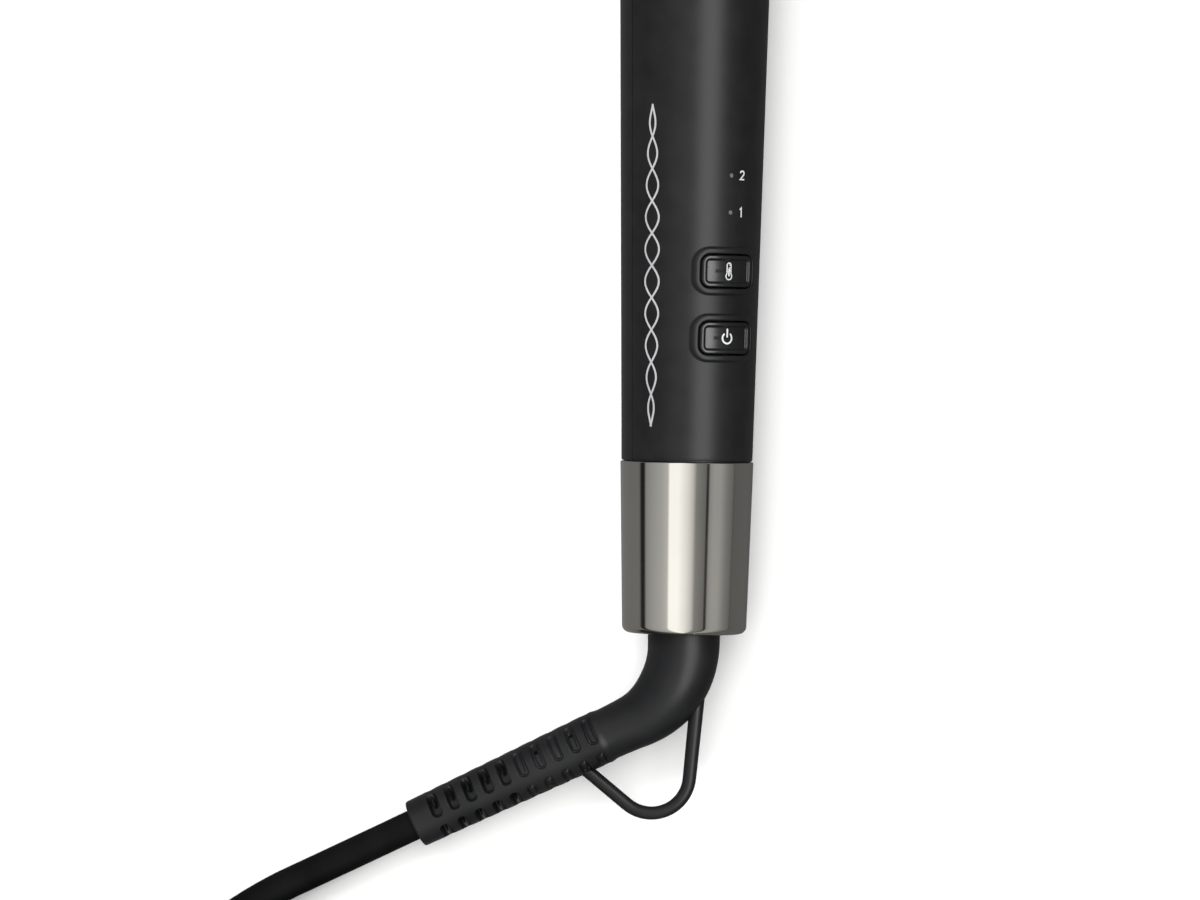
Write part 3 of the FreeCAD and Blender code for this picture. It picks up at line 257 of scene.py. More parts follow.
def rounded_profile(corners, steps=6):
    """A closed profile from (place, radius, rounding) corners, each rounded by an arc."""
    profile = []
    count = len(corners)
    for index, (place, radius, rounding) in enumerate(corners):
        here = Vector((place, radius))
        before = (Vector(corners[index - 1][:2]) - here).normalized()
        after = (Vector(corners[(index + 1) % count][:2]) - here).normalized()
        if rounding <= 0:
            profile.append(here)
            continue
        half = before.angle(after) / 2
        reach = rounding / math.tan(half)
        middle = here + (before + after).normalized() * (rounding / math.sin(half))
        start = here + before * reach - middle
        end = here + after * reach - middle
        sweep = start.angle_signed(end)
        for step in range(steps + 1):
            turned = start.copy()
            turned.rotate(Matrix.Rotation(-sweep * step / steps, 2))
            profile.append(middle + turned)
    return [(point.x, point.y) for point in profile]


def tube(name, centres, radii, count=48, caps=True):
    """A tube along centres, round in section, with its own radius at each centre."""
    rows = []
    side = None
    for index, (centre, radius) in enumerate(zip(centres, radii)):
        before = centres[max(index - 1, 0)]
        after = centres[min(index + 1, len(centres) - 1)]
        along = (after - before).normalized()
        if side is None:
            side = along.cross(Vector((0, 0, 1))).normalized()
        side = (side - along * side.dot(along)).normalized()
        up = side.cross(along)
        rows.append([centre + (side * math.cos(math.tau * step / count)
                               + up * math.sin(math.tau * step / count)) * radius
                     for step in range(count)])
    return surface(name, rows, close_rows=True, caps=caps)


def ramp(amount):
    """Eases from 0 to 1."""
    amount = min(max(amount, 0.0), 1.0)
    return amount * amount * (3 - 2 * amount)


def spread(start, end, step):
    """Even places from start to end, no more than step apart."""
    count = max(1, math.ceil((end - start) / step))
    return [start + (end - start) * index / count for index in range(count + 1)]


def joined(name, meshes):
    """One mesh out of several."""
    box = bmesh.new()
    for mesh in meshes:
        box.from_mesh(mesh)
        bpy.data.meshes.remove(mesh)
    whole = bpy.data.meshes.new(name)
    box.to_mesh(whole)
    box.free()
    return whole


def round_box(half_length, half_width, corner, arc=8, side=18, end=5):
    """Points round a rectangle with rounded corners, as (along, across) pairs."""
    points = []
    corner = max(corner, 0.02)
    for quarter, (x, y) in enumerate(((1, 1), (-1, 1), (-1, -1), (1, -1))):
        middle = Vector((x * (half_length - corner), y * (half_width - corner)))
        for step in range(arc + 1):
            angle = math.radians(90 * (quarter + step / arc))
            points.append(middle + corner * Vector((math.cos(angle), math.sin(angle))))
        following = ((-1, 1), (-1, -1), (1, -1), (1, 1))[quarter]
        ahead = Vector((following[0] * (half_length - corner),
                        following[1] * (half_width - corner)))
        angle = math.radians(90 * (quarter + 1))
        ahead += corner * Vector((math.cos(angle), math.sin(angle)))
        count = end if quarter % 2 == 0 else side
        points += [points[-1].lerp(ahead, step / count) for step in range(1, count)]
    return points


def turned_solid(name, profile, count=192):
    """A solid turned about the iron's axis, closed at both its ends."""
    return surface(name, [ring_row(place, radius, count) for place, radius in profile],
                   close_rows=True, caps=True)


def box_loft(name, stations):
    """A bar whose section is a rounded box: (place, across, low, high, half width, corner)."""
    rows = []
    for place, across, low, high, half, corner in stations:
        middle, tall = (low + high) / 2, (high - low) / 2
        corner = min(corner, tall * 0.95, half * 0.95)
        rows.append([Vector((place, across + y, middle + z))
                     for y, z in round_box(half, tall, corner, 6, 3, 6)])
    return surface(name, rows, close_rows=True, caps=True)


def through(knots, place):
    """A smooth value at a place, through (place, value) knots."""
    for index in range(len(knots) - 1):
        (x0, y0), (x1, y1) = knots[index], knots[index + 1]
        if place <= x1 or index == len(knots) - 2:
            def slope(at):
                before, after = max(at - 1, 0), min(at + 1, len(knots) - 1)
                return (knots[after][1] - knots[before][1]) / (knots[after][0] - knots[before][0])
            width = x1 - x0
            share = min(max((place - x0) / width, 0.0), 1.0)
            start, end = slope(index) * width, slope(index + 1) * width
            return ((2 * share ** 3 - 3 * share ** 2 + 1) * y0
                    + (share ** 3 - 2 * share ** 2 + share) * start
                    + (3 * share ** 2 - 2 * share ** 3) * y1 + (share ** 3 - share ** 2) * end)


def knotted(knots, step):
    """Fine (place, value) pairs along a smooth line through knots."""
    return [(place, through(knots, place)) for place in spread(knots[0][0], knots[-1][0], step)]


# ------------------------------------------------------------------ finishes

def new_material(name, base, roughness, metallic=0.0, **sockets):
    material = bpy.data.materials.new(name)
    material.use_nodes = True
    shader = material.node_tree.nodes["Principled BSDF"]
    shader.inputs["Base Color"].default_value = (*base, 1.0)
    shader.inputs["Roughness"].default_value = roughness
    shader.inputs["Metallic"].default_value = metallic
    for socket, value in sockets.items():
        word = socket.replace("_", " ").title().replace("Ior", "IOR")
        shader.inputs[word].default_value = value
    return material, shader


def add_node(tree, kind, numbers=None, feeds=None, **settings):
    """Adds a shader node with its settings, its sockets' numbers and what feeds its sockets."""
    node = tree.nodes.new(kind)
    for setting, value in settings.items():
        setattr(node, setting, value)
    for socket, number in (numbers or {}).items():
        node.inputs[socket].default_value = number
    for socket, source in (feeds or {}).items():
        tree.links.new(source, node.inputs[socket])
    return node


def grain(tree, scale, detail=3.0, stretch=(1.0, 1.0, 1.0)):
    """Noise over the piece, in the row's own metres, and its value socket."""
    where = add_node(tree, "ShaderNodeTexCoord")
    mapping = add_node(tree, "ShaderNodeMapping", {"Scale": stretch},
                       {"Vector": where.outputs["Object"]})
    noise = add_node(tree, "ShaderNodeTexNoise", {"Scale": scale, "Detail": detail},
                     {"Vector": mapping.outputs["Vector"]})
    return noise.outputs["Fac"]


def ranged(tree, value, low, high, low_in=0.3, high_in=0.7):
    """A value remapped between two limits."""
    node = add_node(tree, "ShaderNodeMapRange", {"From Min": low_in, "From Max": high_in,
                                                 "To Min": low, "To Max": high},
                    {"Value": value})
    return node.outputs["Result"]


def tinted(tree, value, dark, light):
    """A colour between two, driven by a value."""
    node = add_node(tree, "ShaderNodeMix", {"A": (*dark, 1.0), "B": (*light, 1.0)},
                    {"Factor": value}, data_type="RGBA")
    return node.outputs["Result"]


def bumped(tree, shader, value, depth):
    """A bump of a depth in metres."""
    node = add_node(tree, "ShaderNodeBump", {"Distance": depth, "Strength": 1.0},
                    {"Height": value})
    tree.links.new(node.outputs["Normal"], shader.inputs["Normal"])


def moulded(name, base, roughness, scale, depth, spot=0.25, metallic=0.0, **sockets):
    """A moulded, cast or coated finish: fine texture, uneven gloss and slight mottling."""
    material, shader = new_material(name, base, roughness, metallic, **sockets)
    tree = material.node_tree
    fine = grain(tree, scale)
    patches = grain(tree, scale / 30, 2.0)
    tree.links.new(ranged(tree, patches, roughness * (1 - spot), roughness * (1 + spot)),
                   shader.inputs["Roughness"])
    lighter = [min(1.0, channel * (1 + spot) + 0.002) for channel in base]
    darker = [channel * (1 - spot) for channel in base]
    tree.links.new(tinted(tree, ranged(tree, patches, 0, 1), darker, lighter),
                   shader.inputs["Base Color"])
    bumped(tree, shader, fine, depth)
    return material


def drawn_metal(name, base, roughness, stretch, depth):
    """Metal with fine lines along one direction."""
    material, shader = new_material(name, base, roughness, 1.0)
    tree = material.node_tree
    lines = grain(tree, 900.0, 4.0, stretch)
    smears = grain(tree, 45.0, 3.0)
    tree.links.new(ranged(tree, smears, roughness * 0.8, roughness * 1.3),
                   shader.inputs["Roughness"])
    tree.links.new(tinted(tree, ranged(tree, smears, 0, 1),
                          [channel * 0.94 for channel in base], base),
                   shader.inputs["Base Color"])
    bumped(tree, shader, lines, depth)
    return material


FINISHES = {}


def make_finishes():
    FINISHES.update({
        "handle_black": moulded("soft_touch_black", (0.0075, 0.0075, 0.0083), 0.38, 5200.0,
                                0.000008, 0.05, specular_ior_level=0.11),
        "collar_metal": drawn_metal("dark_nickel", (0.44, 0.425, 0.395), 0.075,
                                    (0.02, 1.0, 1.0), 0.0000004),
        "button_gloss": moulded("gloss_black", (0.0045, 0.0045, 0.005), 0.25, 2600.0,
                                0.000001, 0.1, specular_ior_level=0.25),
        "guard_rubber": moulded("guard_rubber", (0.0075, 0.0077, 0.0085), 0.38, 3800.0,
                                0.00001, 0.10, specular_ior_level=0.12),
        "cord_rubber": moulded("cable_sheath", (0.0034, 0.0034, 0.0038), 0.50, 2600.0,
                               0.00001, 0.10, specular_ior_level=0.02),
        "nylon": moulded("natural_nylon", (0.72, 0.69, 0.62), 0.45, 2400.0, 0.00001, 0.08),
        "copper": drawn_metal("slip_copper", (0.78, 0.46, 0.29), 0.22, (1.0, 0.1, 1.0), 2e-6),
        "board_green": moulded("solder_mask", (0.02, 0.10, 0.045), 0.32, 1500.0, 0.00001, 0.2),
        "switch_black": moulded("switch_housing", (0.03, 0.03, 0.032), 0.5, 3000.0, 0.00001),
        "light_clear": moulded("light_pipe", (0.10, 0.10, 0.105), 0.25, 2000.0, 0.000002, 0.1),
        "screw_steel": drawn_metal("zinc_plate", (0.62, 0.62, 0.60), 0.28, (1.0, 1.0, 0.2), 2e-6),
        "barrel_coat": moulded("barrel_coating", (0.055, 0.050, 0.052), 0.24, 3400.0, 0.000004,
                               0.12, 0.85),
        "ceramic": moulded("heater_ceramic", (0.80, 0.78, 0.72), 0.55, 2200.0, 0.00002, 0.1),
        "aluminium": drawn_metal("extruded_aluminium", (0.78, 0.78, 0.79), 0.3,
                                 (0.05, 1.0, 1.0), 3e-6),
        "mica": moulded("mica_sheet", (0.48, 0.38, 0.24), 0.35, 800.0, 0.00003, 0.3),
        "tip_black": moulded("heatproof_nylon", (0.008, 0.008, 0.0088), 0.42, 3000.0, 0.00003,
                             0.12, specular_ior_level=0.25),
        "clamp_steel": moulded("clamp_coating", (0.06, 0.055, 0.057), 0.26, 3400.0, 0.000004,
                               0.12, 0.85),
        "spring_steel": drawn_metal("spring_wire", (0.5, 0.5, 0.5), 0.3, (1.0, 1.0, 1.0), 2e-6),
        "stand_steel": drawn_metal("blackened_wire", (0.16, 0.16, 0.165), 0.34,
                                   (1.0, 1.0, 1.0), 5e-6),
        "plug_black": moulded("plug_moulding", (0.007, 0.007, 0.0075), 0.48, 3000.0, 0.00003,
                              0.15, specular_ior_level=0.22),
        "pin_nickel": drawn_metal("plated_pin", (0.78, 0.76, 0.72), 0.18, (1.0, 0.1, 1.0), 1e-6),
        "strap_black": moulded("woven_strap", (0.006, 0.006, 0.0065), 0.7, 1900.0, 0.00008, 0.3),
        "print_white": moulded("white_print", (0.60, 0.61, 0.63), 0.5, 4000.0, 0.000003, 0.06),
        "print_grey": moulded("grey_print", (0.33, 0.33, 0.34), 0.5, 4000.0, 0.000003, 0.08),
    })


def coat_frame_nodes():
    """Every node of the frame takes the finish that its slot in the record names."""
    for entry in frame["record"]["subparts"]:
        node = NODES[entry["node"]]
        node.data.materials.clear()
        node.data.materials.append(FINISHES[entry["material_slot"]])


# ------------------------------------------------------------------ stage

# The studio's brightness: (degrees from straight up towards -Y, brightness).
STUDIO_BANDS = (
    (-90, 0.20), (-87, 0.03), (-80, 0.03), (-76, 0.50), (-62, 0.65), (-44, 0.80), (-33, 1.00),
    (-30, 2.20), (-14, 2.20), (-6, 1.90), (2, 1.60), (11, 1.10), (17, 0.45), (29, 0.34),
    (34, 0.30), (35.5, 0.05), (38.5, 0.05), (41, 0.55), (50, 0.68), (62, 0.66), (76, 0.40),
    (90, 0.27))


def band_world(strength):
    """A studio whose brightness changes in bands across the iron, as softboxes and flags do."""
    world = bpy.data.worlds.new("studio")
    bpy.context.scene.world = world
    world.use_nodes = True
    tree = world.node_tree
    where = add_node(tree, "ShaderNodeTexCoord")
    parts = add_node(tree, "ShaderNodeSeparateXYZ", feeds={"Vector": where.outputs["Generated"]})
    across = add_node(tree, "ShaderNodeMath", {1: -1.0}, {0: parts.outputs["Y"]},
                      operation="MULTIPLY")
    lean = add_node(tree, "ShaderNodeMath", feeds={0: across.outputs["Value"],
                                                   1: parts.outputs["Z"]},
                    operation="ARCTAN2")
    placed = ranged(tree, lean.outputs["Value"], 0.0, 1.0, -math.pi / 2, math.pi / 2)
    bands = add_node(tree, "ShaderNodeValToRGB", feeds={"Fac": placed})
    background = tree.nodes["Background"]
    tree.links.new(bands.outputs["Color"], background.inputs["Color"])
    background.inputs["Strength"].default_value = strength
    steps = bands.color_ramp.elements
    while len(steps) < len(STUDIO_BANDS):
        steps.new(0.5)
    for step, (turn, level) in zip(steps, STUDIO_BANDS):
        step.position = (turn + 90) / 180
        step.color = (level, level, level * 0.985, 1.0)


def floor_material(colour):
    """Plain pale floor. Painted shade in reflections: glossy rays see the floor painted dark, 0.13
    to 0.18, darker on the side away from the key.
    """
    material, shader = new_material("floor", colour, 0.9)
    shader.inputs["Specular IOR Level"].default_value = 0.0
    tree = material.node_tree
    where = add_node(tree, "ShaderNodeTexCoord")
    parts = add_node(tree, "ShaderNodeSeparateXYZ", feeds={"Vector": where.outputs["Object"]})
    # painted shade for reflections: the floor's colour for glossy rays, darker towards -Y, away
    # from the key
    side = ranged(tree, parts.outputs["Y"], 0.13, 0.18, -0.012, 0.012)
    rays = add_node(tree, "ShaderNodeLightPath")
    # glossy rays get the painted shade in place of the floor's own colour
    painted_reflection_shade = add_node(tree, "ShaderNodeMix", {"A": (*colour, 1.0)},
                        {"Factor": rays.outputs["Is Glossy Ray"], "B": side},
                        data_type="RGBA")
    tree.links.new(painted_reflection_shade.outputs["Result"], shader.inputs["Base Color"])
    return material


VIEW_PLACE = (38.63, 18.52)     # what the middle of the view looks at, in mm along and across
# Lights, in metres: where each is from that point, and how wide it is.
KEY_AWAY, KEY_WIDTH = (0.55, 0.75, 1.1), 0.45
FILL_AWAY, FILL_WIDTH = (0.2, -0.25, 1.3), 1.2
STRIP_AWAY, STRIP_WIDTH, STRIP_DEPTH = 1.25, 1.6, 0.7
FLOOR_HALF = 6


def spare_from_strip(piece):
    """Keeps the strip light, which is for the dull black pieces, off a piece."""
    spared = bpy.data.collections["not_lit_by_strip"]
    spared.objects.link(piece)
    for item in spared.collection_objects:
        item.light_linking.link_state = "EXCLUDE"


def area_light(name, watts, width, place, turn=(0, 0, 0)):
    """A square area light."""
    light = bpy.data.lights.new(name, "AREA")
    light.energy = watts
    light.size = width
    lamp = in_scene(bpy.data.objects.new(name, light))
    lamp.location = place
    lamp.rotation_euler = turn
    return lamp


def make_camera(settings, target):
    lens = bpy.data.cameras.new("camera")
    lens.sensor_width = 36.0
    reach = settings.camera_height - target.z
    lens.lens = lens.sensor_width * reach / settings.view_width
    lens.clip_end = 20.0
    camera = bpy.data.objects.new("camera", lens)
    up = Vector((math.cos(settings.camera_roll), math.sin(settings.camera_roll), 0))
    right = up.cross(Vector((0, 0, 1)))
    camera.matrix_world = Matrix.Translation((target.x, target.y, settings.camera_height)) @ \
        Matrix((right, up, Vector((0, 0, 1)))).transposed().to_4x4()
    bpy.context.scene.camera = in_scene(camera)


def make_stage(settings):
    """The floor, three lights and the camera."""
    band_world(settings.sky_strength)
    edges = (-FLOOR_HALF, FLOOR_HALF)
    mesh = surface("floor", [[Vector((x, y, 0)) for y in edges] for x in edges])
    mesh.materials.append(floor_material(settings.floor_colour))
    floor = in_scene(bpy.data.objects.new("floor", mesh))

    target = iron_frame() @ Vector((*VIEW_PLACE, 0))
    place = target + Vector(KEY_AWAY)
    key = area_light("key", settings.key_strength, KEY_WIDTH, place,
                     (place - target).to_track_quat("Z", "Y").to_euler())
    fill = area_light("fill", settings.fill_strength, FILL_WIDTH, target + Vector(FILL_AWAY))
    key.visible_glossy = fill.visible_glossy = False

    lean = settings.strip_lean
    strip = area_light("strip", settings.strip_strength, STRIP_WIDTH,
                       target + STRIP_AWAY * Vector((0, -math.sin(lean), math.cos(lean))),
                       (lean, 0, 0))
    strip.data.shape, strip.data.size_y = "RECTANGLE", STRIP_DEPTH
    strip.visible_diffuse = False
    strip.light_linking.receiver_collection = bpy.data.collections.new("not_lit_by_strip")
    spare_from_strip(floor)
    make_camera(settings, target)
    bpy.context.scene.view_settings.view_transform = "Standard"


# ------------------------------------------------------------------ end collar and handle

def make_collar(sizes, hole):
    """The polished cup over the handle's tail, turned finely so that it mirrors cleanly."""
    length, tail, front, wall = (sizes.collar_length, sizes.collar_tail, sizes.collar_front,
                                 sizes.collar_wall)
    profile = rounded_profile([
        (0.0, hole, 0.35), (0.0, tail, 1.6), (length, front, 0.22),
        (length, front - wall, 0.15), (1.4, tail - wall, 0.3), (1.4, hole, 0.35)], 10)
    collar = finished("end_collar_shell", lathe("collar", profile, 384), iron_frame(),
                      "collar_metal", "handle")
    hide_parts("end_collar")
    spare_from_strip(collar)


def handle_radius(sizes, place):
    slope = (sizes.handle_front - sizes.handle_tail) / (sizes.handle_end - sizes.collar_length)
    return sizes.handle_tail + (place - sizes.collar_length) * slope


def raised_rings(sizes, place, half_length, half_width, corner, profile, shut):
    """Rounded rectangles over a button, each (outward step, height over the handle)."""
    rows = []
    for outward, height in profile:
        row = []
        for x, y in round_box(half_length + outward, half_width + outward, corner + outward):
            radius = handle_radius(sizes, place + x) + height
            row.append(Vector((place + x, y, math.sqrt(radius * radius - y * y))))
        rows.append(row)
    return surface("rings", rows, close_rows=True, close_columns=not shut, caps=shut)


CAP_PROFILE = ((0.0, -2.4), (0.0, 0.28), (-0.06, 0.46), (-0.2, 0.57), (-0.42, 0.6), (-0.62, 0.58),
               (-0.78, 0.5), (-0.9, 0.34), (-1.0, 0.16), (-1.14, 0.06), (-1.35, 0.03),
               (-1.8, 0.03), (-2.4, 0.03), (-2.9, 0.03), (-3.25, 0.03))
LIP_PROFILE = ((0.0, -1.7), (0.0, 0.3), (0.06, 0.45), (0.18, 0.55), (0.38, 0.6), (0.8, 0.6),
               (1.0, 0.56), (1.16, 0.45), (1.28, 0.28), (1.38, 0.12), (1.52, 0.01),
               (1.75, -0.06), (2.1, -0.12), (2.1, -0.6), (1.2, -1.7))
PANEL_HEIGHT = 0.03
BUTTON_CORNER = 1.7
BUTTON_GAP = 0.3


def on_handle(sizes, turn=0.0):
    """Lays (place, across, lift) on the handle's round surface, in mm of the button frame."""
    def laid(place, across, lift):
        radius = handle_radius(sizes, place)
        angle = turn - across / radius
        return Vector((place, -(radius + lift) * math.sin(angle),
                       (radius + lift) * math.cos(angle)))
    return laid


def on_button(sizes):
    """Lays (place, across, lift) on a button's sunk panel."""
    def laid(place, across, lift):
        radius = handle_radius(sizes, place) + PANEL_HEIGHT + lift
        return Vector((place, across, math.sqrt(radius * radius - across * across)))
    return laid


def stroke(points, width, laid, closed=False):
    """A printed line of one width through (place, across) points, a little raised."""
    lift, sink = 0.035, -0.05
    rows = []
    count = len(points)
    for index, point in enumerate(points):
        here = Vector(point)
        before = Vector(points[index - 1]) if closed or index else here
        after = Vector(points[(index + 1) % count]) if closed or index < count - 1 else here
        ways = [way.normalized() for way in (here - before, after - here) if way.length > 1e-6]
        along = sum(ways, Vector((0, 0))).normalized()
        reach = width / 2 / max(0.5, along.dot(ways[0]))
        side = Vector((-along.y, along.x)) * reach
        left, right = here + side, here - side
        rows.append([laid(*left, lift), laid(*right, lift), laid(*right, sink),
                     laid(*left, sink)])
    return surface("stroke", rows, close_rows=True, close_columns=closed, caps=not closed)


def round_path(centre, radius, start, end, step=12.0):
    """Points round a circle from one angle to another, in degrees from straight ahead."""
    return [(centre[0] + radius * math.cos(math.radians(angle)),
             centre[1] + radius * math.sin(math.radians(angle)))
            for angle in spread(start, end, step)]


def power_strokes(centre, laid):
    ring = round_path(centre, 1.15, 38, 322)
    bar = [(centre[0] + 0.15, centre[1]), (centre[0] + 2.0, centre[1])]
    return [stroke(ring, 0.36, laid), stroke(bar, 0.36, laid)]


def thermometer_strokes(centre, laid):
    bulb, bore, half = (centre[0] - 1.05, centre[1]), 0.72, 0.5
    outline = round_path(bulb, bore, 42, 318)
    top = centre[0] + 1.25
    cap = round_path((top, centre[1]), half, -90, 90, 30)
    marks = [stroke([(centre[0] + step, centre[1] - half), (centre[0] + step, centre[1] - 0.02)],
                    0.16, laid) for step in (0.2, 0.75, 1.3)]
    return [stroke(outline + cap, 0.22, laid, closed=True),
            stroke([bulb, (centre[0] + 0.6, centre[1])], 0.3, laid), *marks]


def upright_block(points, low, high):
    return surface("block", [[Vector((x, y, height)) for x, y in points]
                             for height in (low, high)], close_rows=True, caps=True)


def cut_through(mesh, cutters):
    """Cuts closed meshes out of a closed mesh."""
    whole = in_scene(bpy.data.objects.new("whole", mesh))
    tool = in_scene(bpy.data.objects.new("cutters", joined("cutters", cutters)))
    cut = whole.modifiers.new("cut", "BOOLEAN")
    cut.operation, cut.solver, cut.object = "DIFFERENCE", "EXACT", tool
    graph = bpy.context.evaluated_depsgraph_get()
    result = bpy.data.meshes.new_from_object(whole.evaluated_get(graph))
    for piece in (whole, tool):
        bpy.data.objects.remove(piece)
    return result


SHELL_WALL = 2.0
NECK_START, NECK_RADIUS, NECK_WALL = 1.55, 12.25, 1.5       # under the collar
JOINT_GAP, JOINT_DEPTH = 0.35, 0.2                          # where the collar's edge meets it
SEAM_ANGLE = 89.6               # how far round each way the shell goes, in degrees
WINDOW_SPARE = 0.12             # how much wider than the lip's inside a window is
LIGHT_HOLE_RADIUS = 0.5
CUT_LOW, CUT_HIGH = 6.0, 20.0   # heights between which windows and holes are cut


def make_front_shell(sizes):
    """The front half of the handle, with windows for both buttons and two light holes."""
    frame = iron_frame(button_turn())
    step, end = sizes.collar_length + JOINT_GAP, sizes.handle_end
    at_step, tip = handle_radius(sizes, step), handle_radius(sizes, end)
    profile = [(NECK_START, NECK_RADIUS), (step - 0.2, NECK_RADIUS),
               (step - 0.2, at_step - JOINT_DEPTH), (step, at_step - JOINT_DEPTH),
               (step + 0.02, at_step - 0.06), (step + 0.1, at_step)]
    profile += [(place, handle_radius(sizes, place)) for place in spread(step + 1, end - 1, 2.5)]
    profile += [(end - 0.3, tip), (end - 0.09, tip - 0.09), (end, tip - 0.3),
                (end, tip - SHELL_WALL), (step + 2 * SHELL_WALL, at_step - SHELL_WALL),
                (step, NECK_RADIUS - NECK_WALL), (NECK_START, NECK_RADIUS - NECK_WALL)]
    rows = [[Vector((place, radius * math.sin(math.radians(turn)),
                     radius * math.cos(math.radians(turn)))) for place, radius in profile]
            for turn in spread(-SEAM_ANGLE, SEAM_ANGLE, 0.8)]
    shell = surface("shell", rows, close_rows=True, caps=True)
    spare = BUTTON_GAP + WINDOW_SPARE
    window = round_box(sizes.button_length / 2 + spare, sizes.button_width / 2 + spare,
                       BUTTON_CORNER + spare)
    hole = [(point.y, point.z) for point in ring_row(0, LIGHT_HOLE_RADIUS, 32)]
    cutters = [upright_block([(x + middle_of(name, frame), y) for x, y in outline],
                             CUT_LOW, CUT_HIGH)
               for name, outline in (("temp_button", window), ("power_button", window),
                                     ("low_light_pipe", hole), ("high_light_pipe", hole))]
    shell = finished("front_shell_skin", cut_through(shell, cutters), frame, "handle_black",
                     "handle")
    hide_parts("handle_front_shell")


def make_buttons(sizes):
    """Two glossy caps with sunk panels, their icons, and the raised lips round them."""
    place = iron_frame(button_turn())
    half_length, half_width = sizes.button_length / 2, sizes.button_width / 2
    for word, icon in (("temp", thermometer_strokes), ("power", power_strokes)):
        centre = round(middle_of(word + "_button", place), 1)
        cap = raised_rings(sizes, centre, half_length, half_width, BUTTON_CORNER, CAP_PROFILE,
                           True)
        cap = finished(word + "_cap", cap, place, "button_gloss", word + "_button")
        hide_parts(word + "_button")
        marks = joined("marks", icon((centre, 0.0), on_button(sizes)))
        finished(word + "_icon", marks, place, "print_white", word + "_button",
                 smooth=False)
        lip = raised_rings(sizes, centre, half_length + BUTTON_GAP, half_width + BUTTON_GAP,
                           BUTTON_CORNER + BUTTON_GAP, LIP_PROFILE, False)
        finished(word + "_lip", lip, place, "handle_black", "handle")


NUMERALS_RIGHT = -2.9           # where the numerals start, across the handle, in mm
ONE = ((0.55, 0.42), (0.98, 0.0), (-1.0, 0.0))
TWO = ((0.5, 0.55), (0.78, 0.42), (0.92, 0.15), (0.92, -0.15), (0.75, -0.45), (0.45, -0.55),
       (0.15, -0.45), (-0.35, 0.05), (-0.86, 0.56), (-0.86, -0.62))
RIBBON_START, RIBBON_END, RIBBON_WAVES, RIBBON_HEIGHT = 44.0, 112.0, 5, 1.75
RIBBON_TURN = math.radians(-34.0)


def make_prints(sizes):
    """Numerals beside the two lights, and a plain twisted-ribbon line along the handle."""
    frame = iron_frame(button_turn())
    numerals = []
    for name, points, width in (("low_light_pipe", ONE, 0.32), ("high_light_pipe", TWO, 0.31)):
        middle = middle_of(name, frame)
        numerals.append(stroke([(middle + x, NUMERALS_RIGHT + y) for x, y in points], width,
                               on_handle(sizes)))
    finished("numerals", joined("numerals", numerals), frame, "print_white", "handle",
             smooth=False)

    ribbon = []
    for side in (-1, 1):
        path = []
        for place in spread(RIBBON_START, RIBBON_END, 0.5):
            share = (place - RIBBON_START) / (RIBBON_END - RIBBON_START)
            swell = math.sin(math.pi * share) ** 0.5
            path.append((place, side * RIBBON_HEIGHT * swell
                         * math.sin(math.tau * RIBBON_WAVES * share)))
        ribbon.append(stroke(path, 0.42, on_handle(sizes, RIBBON_TURN)))
    finished("ribbon_print", joined("ribbon_print", ribbon), iron_frame(), "print_grey",
             "handle", smooth=False)


# ------------------------------------------------------------------ cord guard

def guard_point(sizes, distance, across=0.0):
    """A point on the guard's straight part, in mm in the guard's own plane."""
    bend_x = -sizes.bend_start - sizes.bend_radius * math.sin(sizes.turn)
    bend_y = sizes.bend_radius * (1 - math.cos(sizes.turn))
    heading = Vector((-math.cos(sizes.turn), math.sin(sizes.turn), 0))
    return Vector((bend_x, bend_y, 0)) + heading * distance


def guard_centre(sizes, distance):
    """The guard's middle line and its heading, from the collar's tail face, in mm."""
    if distance <= sizes.bend_start:
        return Vector((-distance, 0, 0)), Vector((-1, 0, 0))
    arc = sizes.bend_radius * sizes.turn
    if distance <= sizes.bend_start + arc:
        angle = (distance - sizes.bend_start) / sizes.bend_radius
        return (Vector((-sizes.bend_start - sizes.bend_radius * math.sin(angle),
                        sizes.bend_radius * (1 - math.cos(angle)), 0)),
                Vector((-math.cos(angle), math.sin(angle), 0)))
    heading = Vector((-math.cos(sizes.turn), math.sin(sizes.turn), 0))
    return guard_point(sizes, distance - sizes.bend_start - arc), heading


def slot_depth(sizes, distance, around, radius):
    """How deep the guard is cut at a distance along its straight part, in mm.

    Each row has slots on both halves of its length: outlined pads near the bend, with a
    pin hole in every other one, and deep slots with a short rib near the cord."""
    station = round((distance - sizes.slot_start) / sizes.slot_pitch)
    if not 0 <= station < sizes.slot_count:
        return 0.0
    along = distance - sizes.slot_start - station * sizes.slot_pitch
    across = around * radius
    half_width = sizes.slot_width / 2
    half_length = sizes.slot_half_angle * radius
    reach = max(abs(across) - (half_length - half_width), 0.0)
    outside = math.hypot(reach, along) - half_width
    soft = 0.11

    def inside(distance_out):
        return 1.0 - ramp((distance_out + soft) / (2 * soft))

    if station < sizes.slot_count // 2:
        groove = inside(abs(outside + 0.24) - 0.24)
        depth = 0.42 * groove + 0.08 * inside(outside)
        if station % 2 == 1:
            hole = inside(math.hypot(along, across - 0.7) - 0.42)
            depth = max(depth, 1.6 * hole)
        return depth
    rib = inside(max(abs(along) - 0.2, -across - 0.2))
    return inside(outside) * (2.3 - 1.8 * rib)


# Where the hanging loop's rod leaves the bend, turns back and meets the sleeve, in mm.
LOOP_ROUTE = ((-8.0, -3.61), (-46.4, -0.39), (-27.4, 23.3))
LOOP_BEND = 8.2


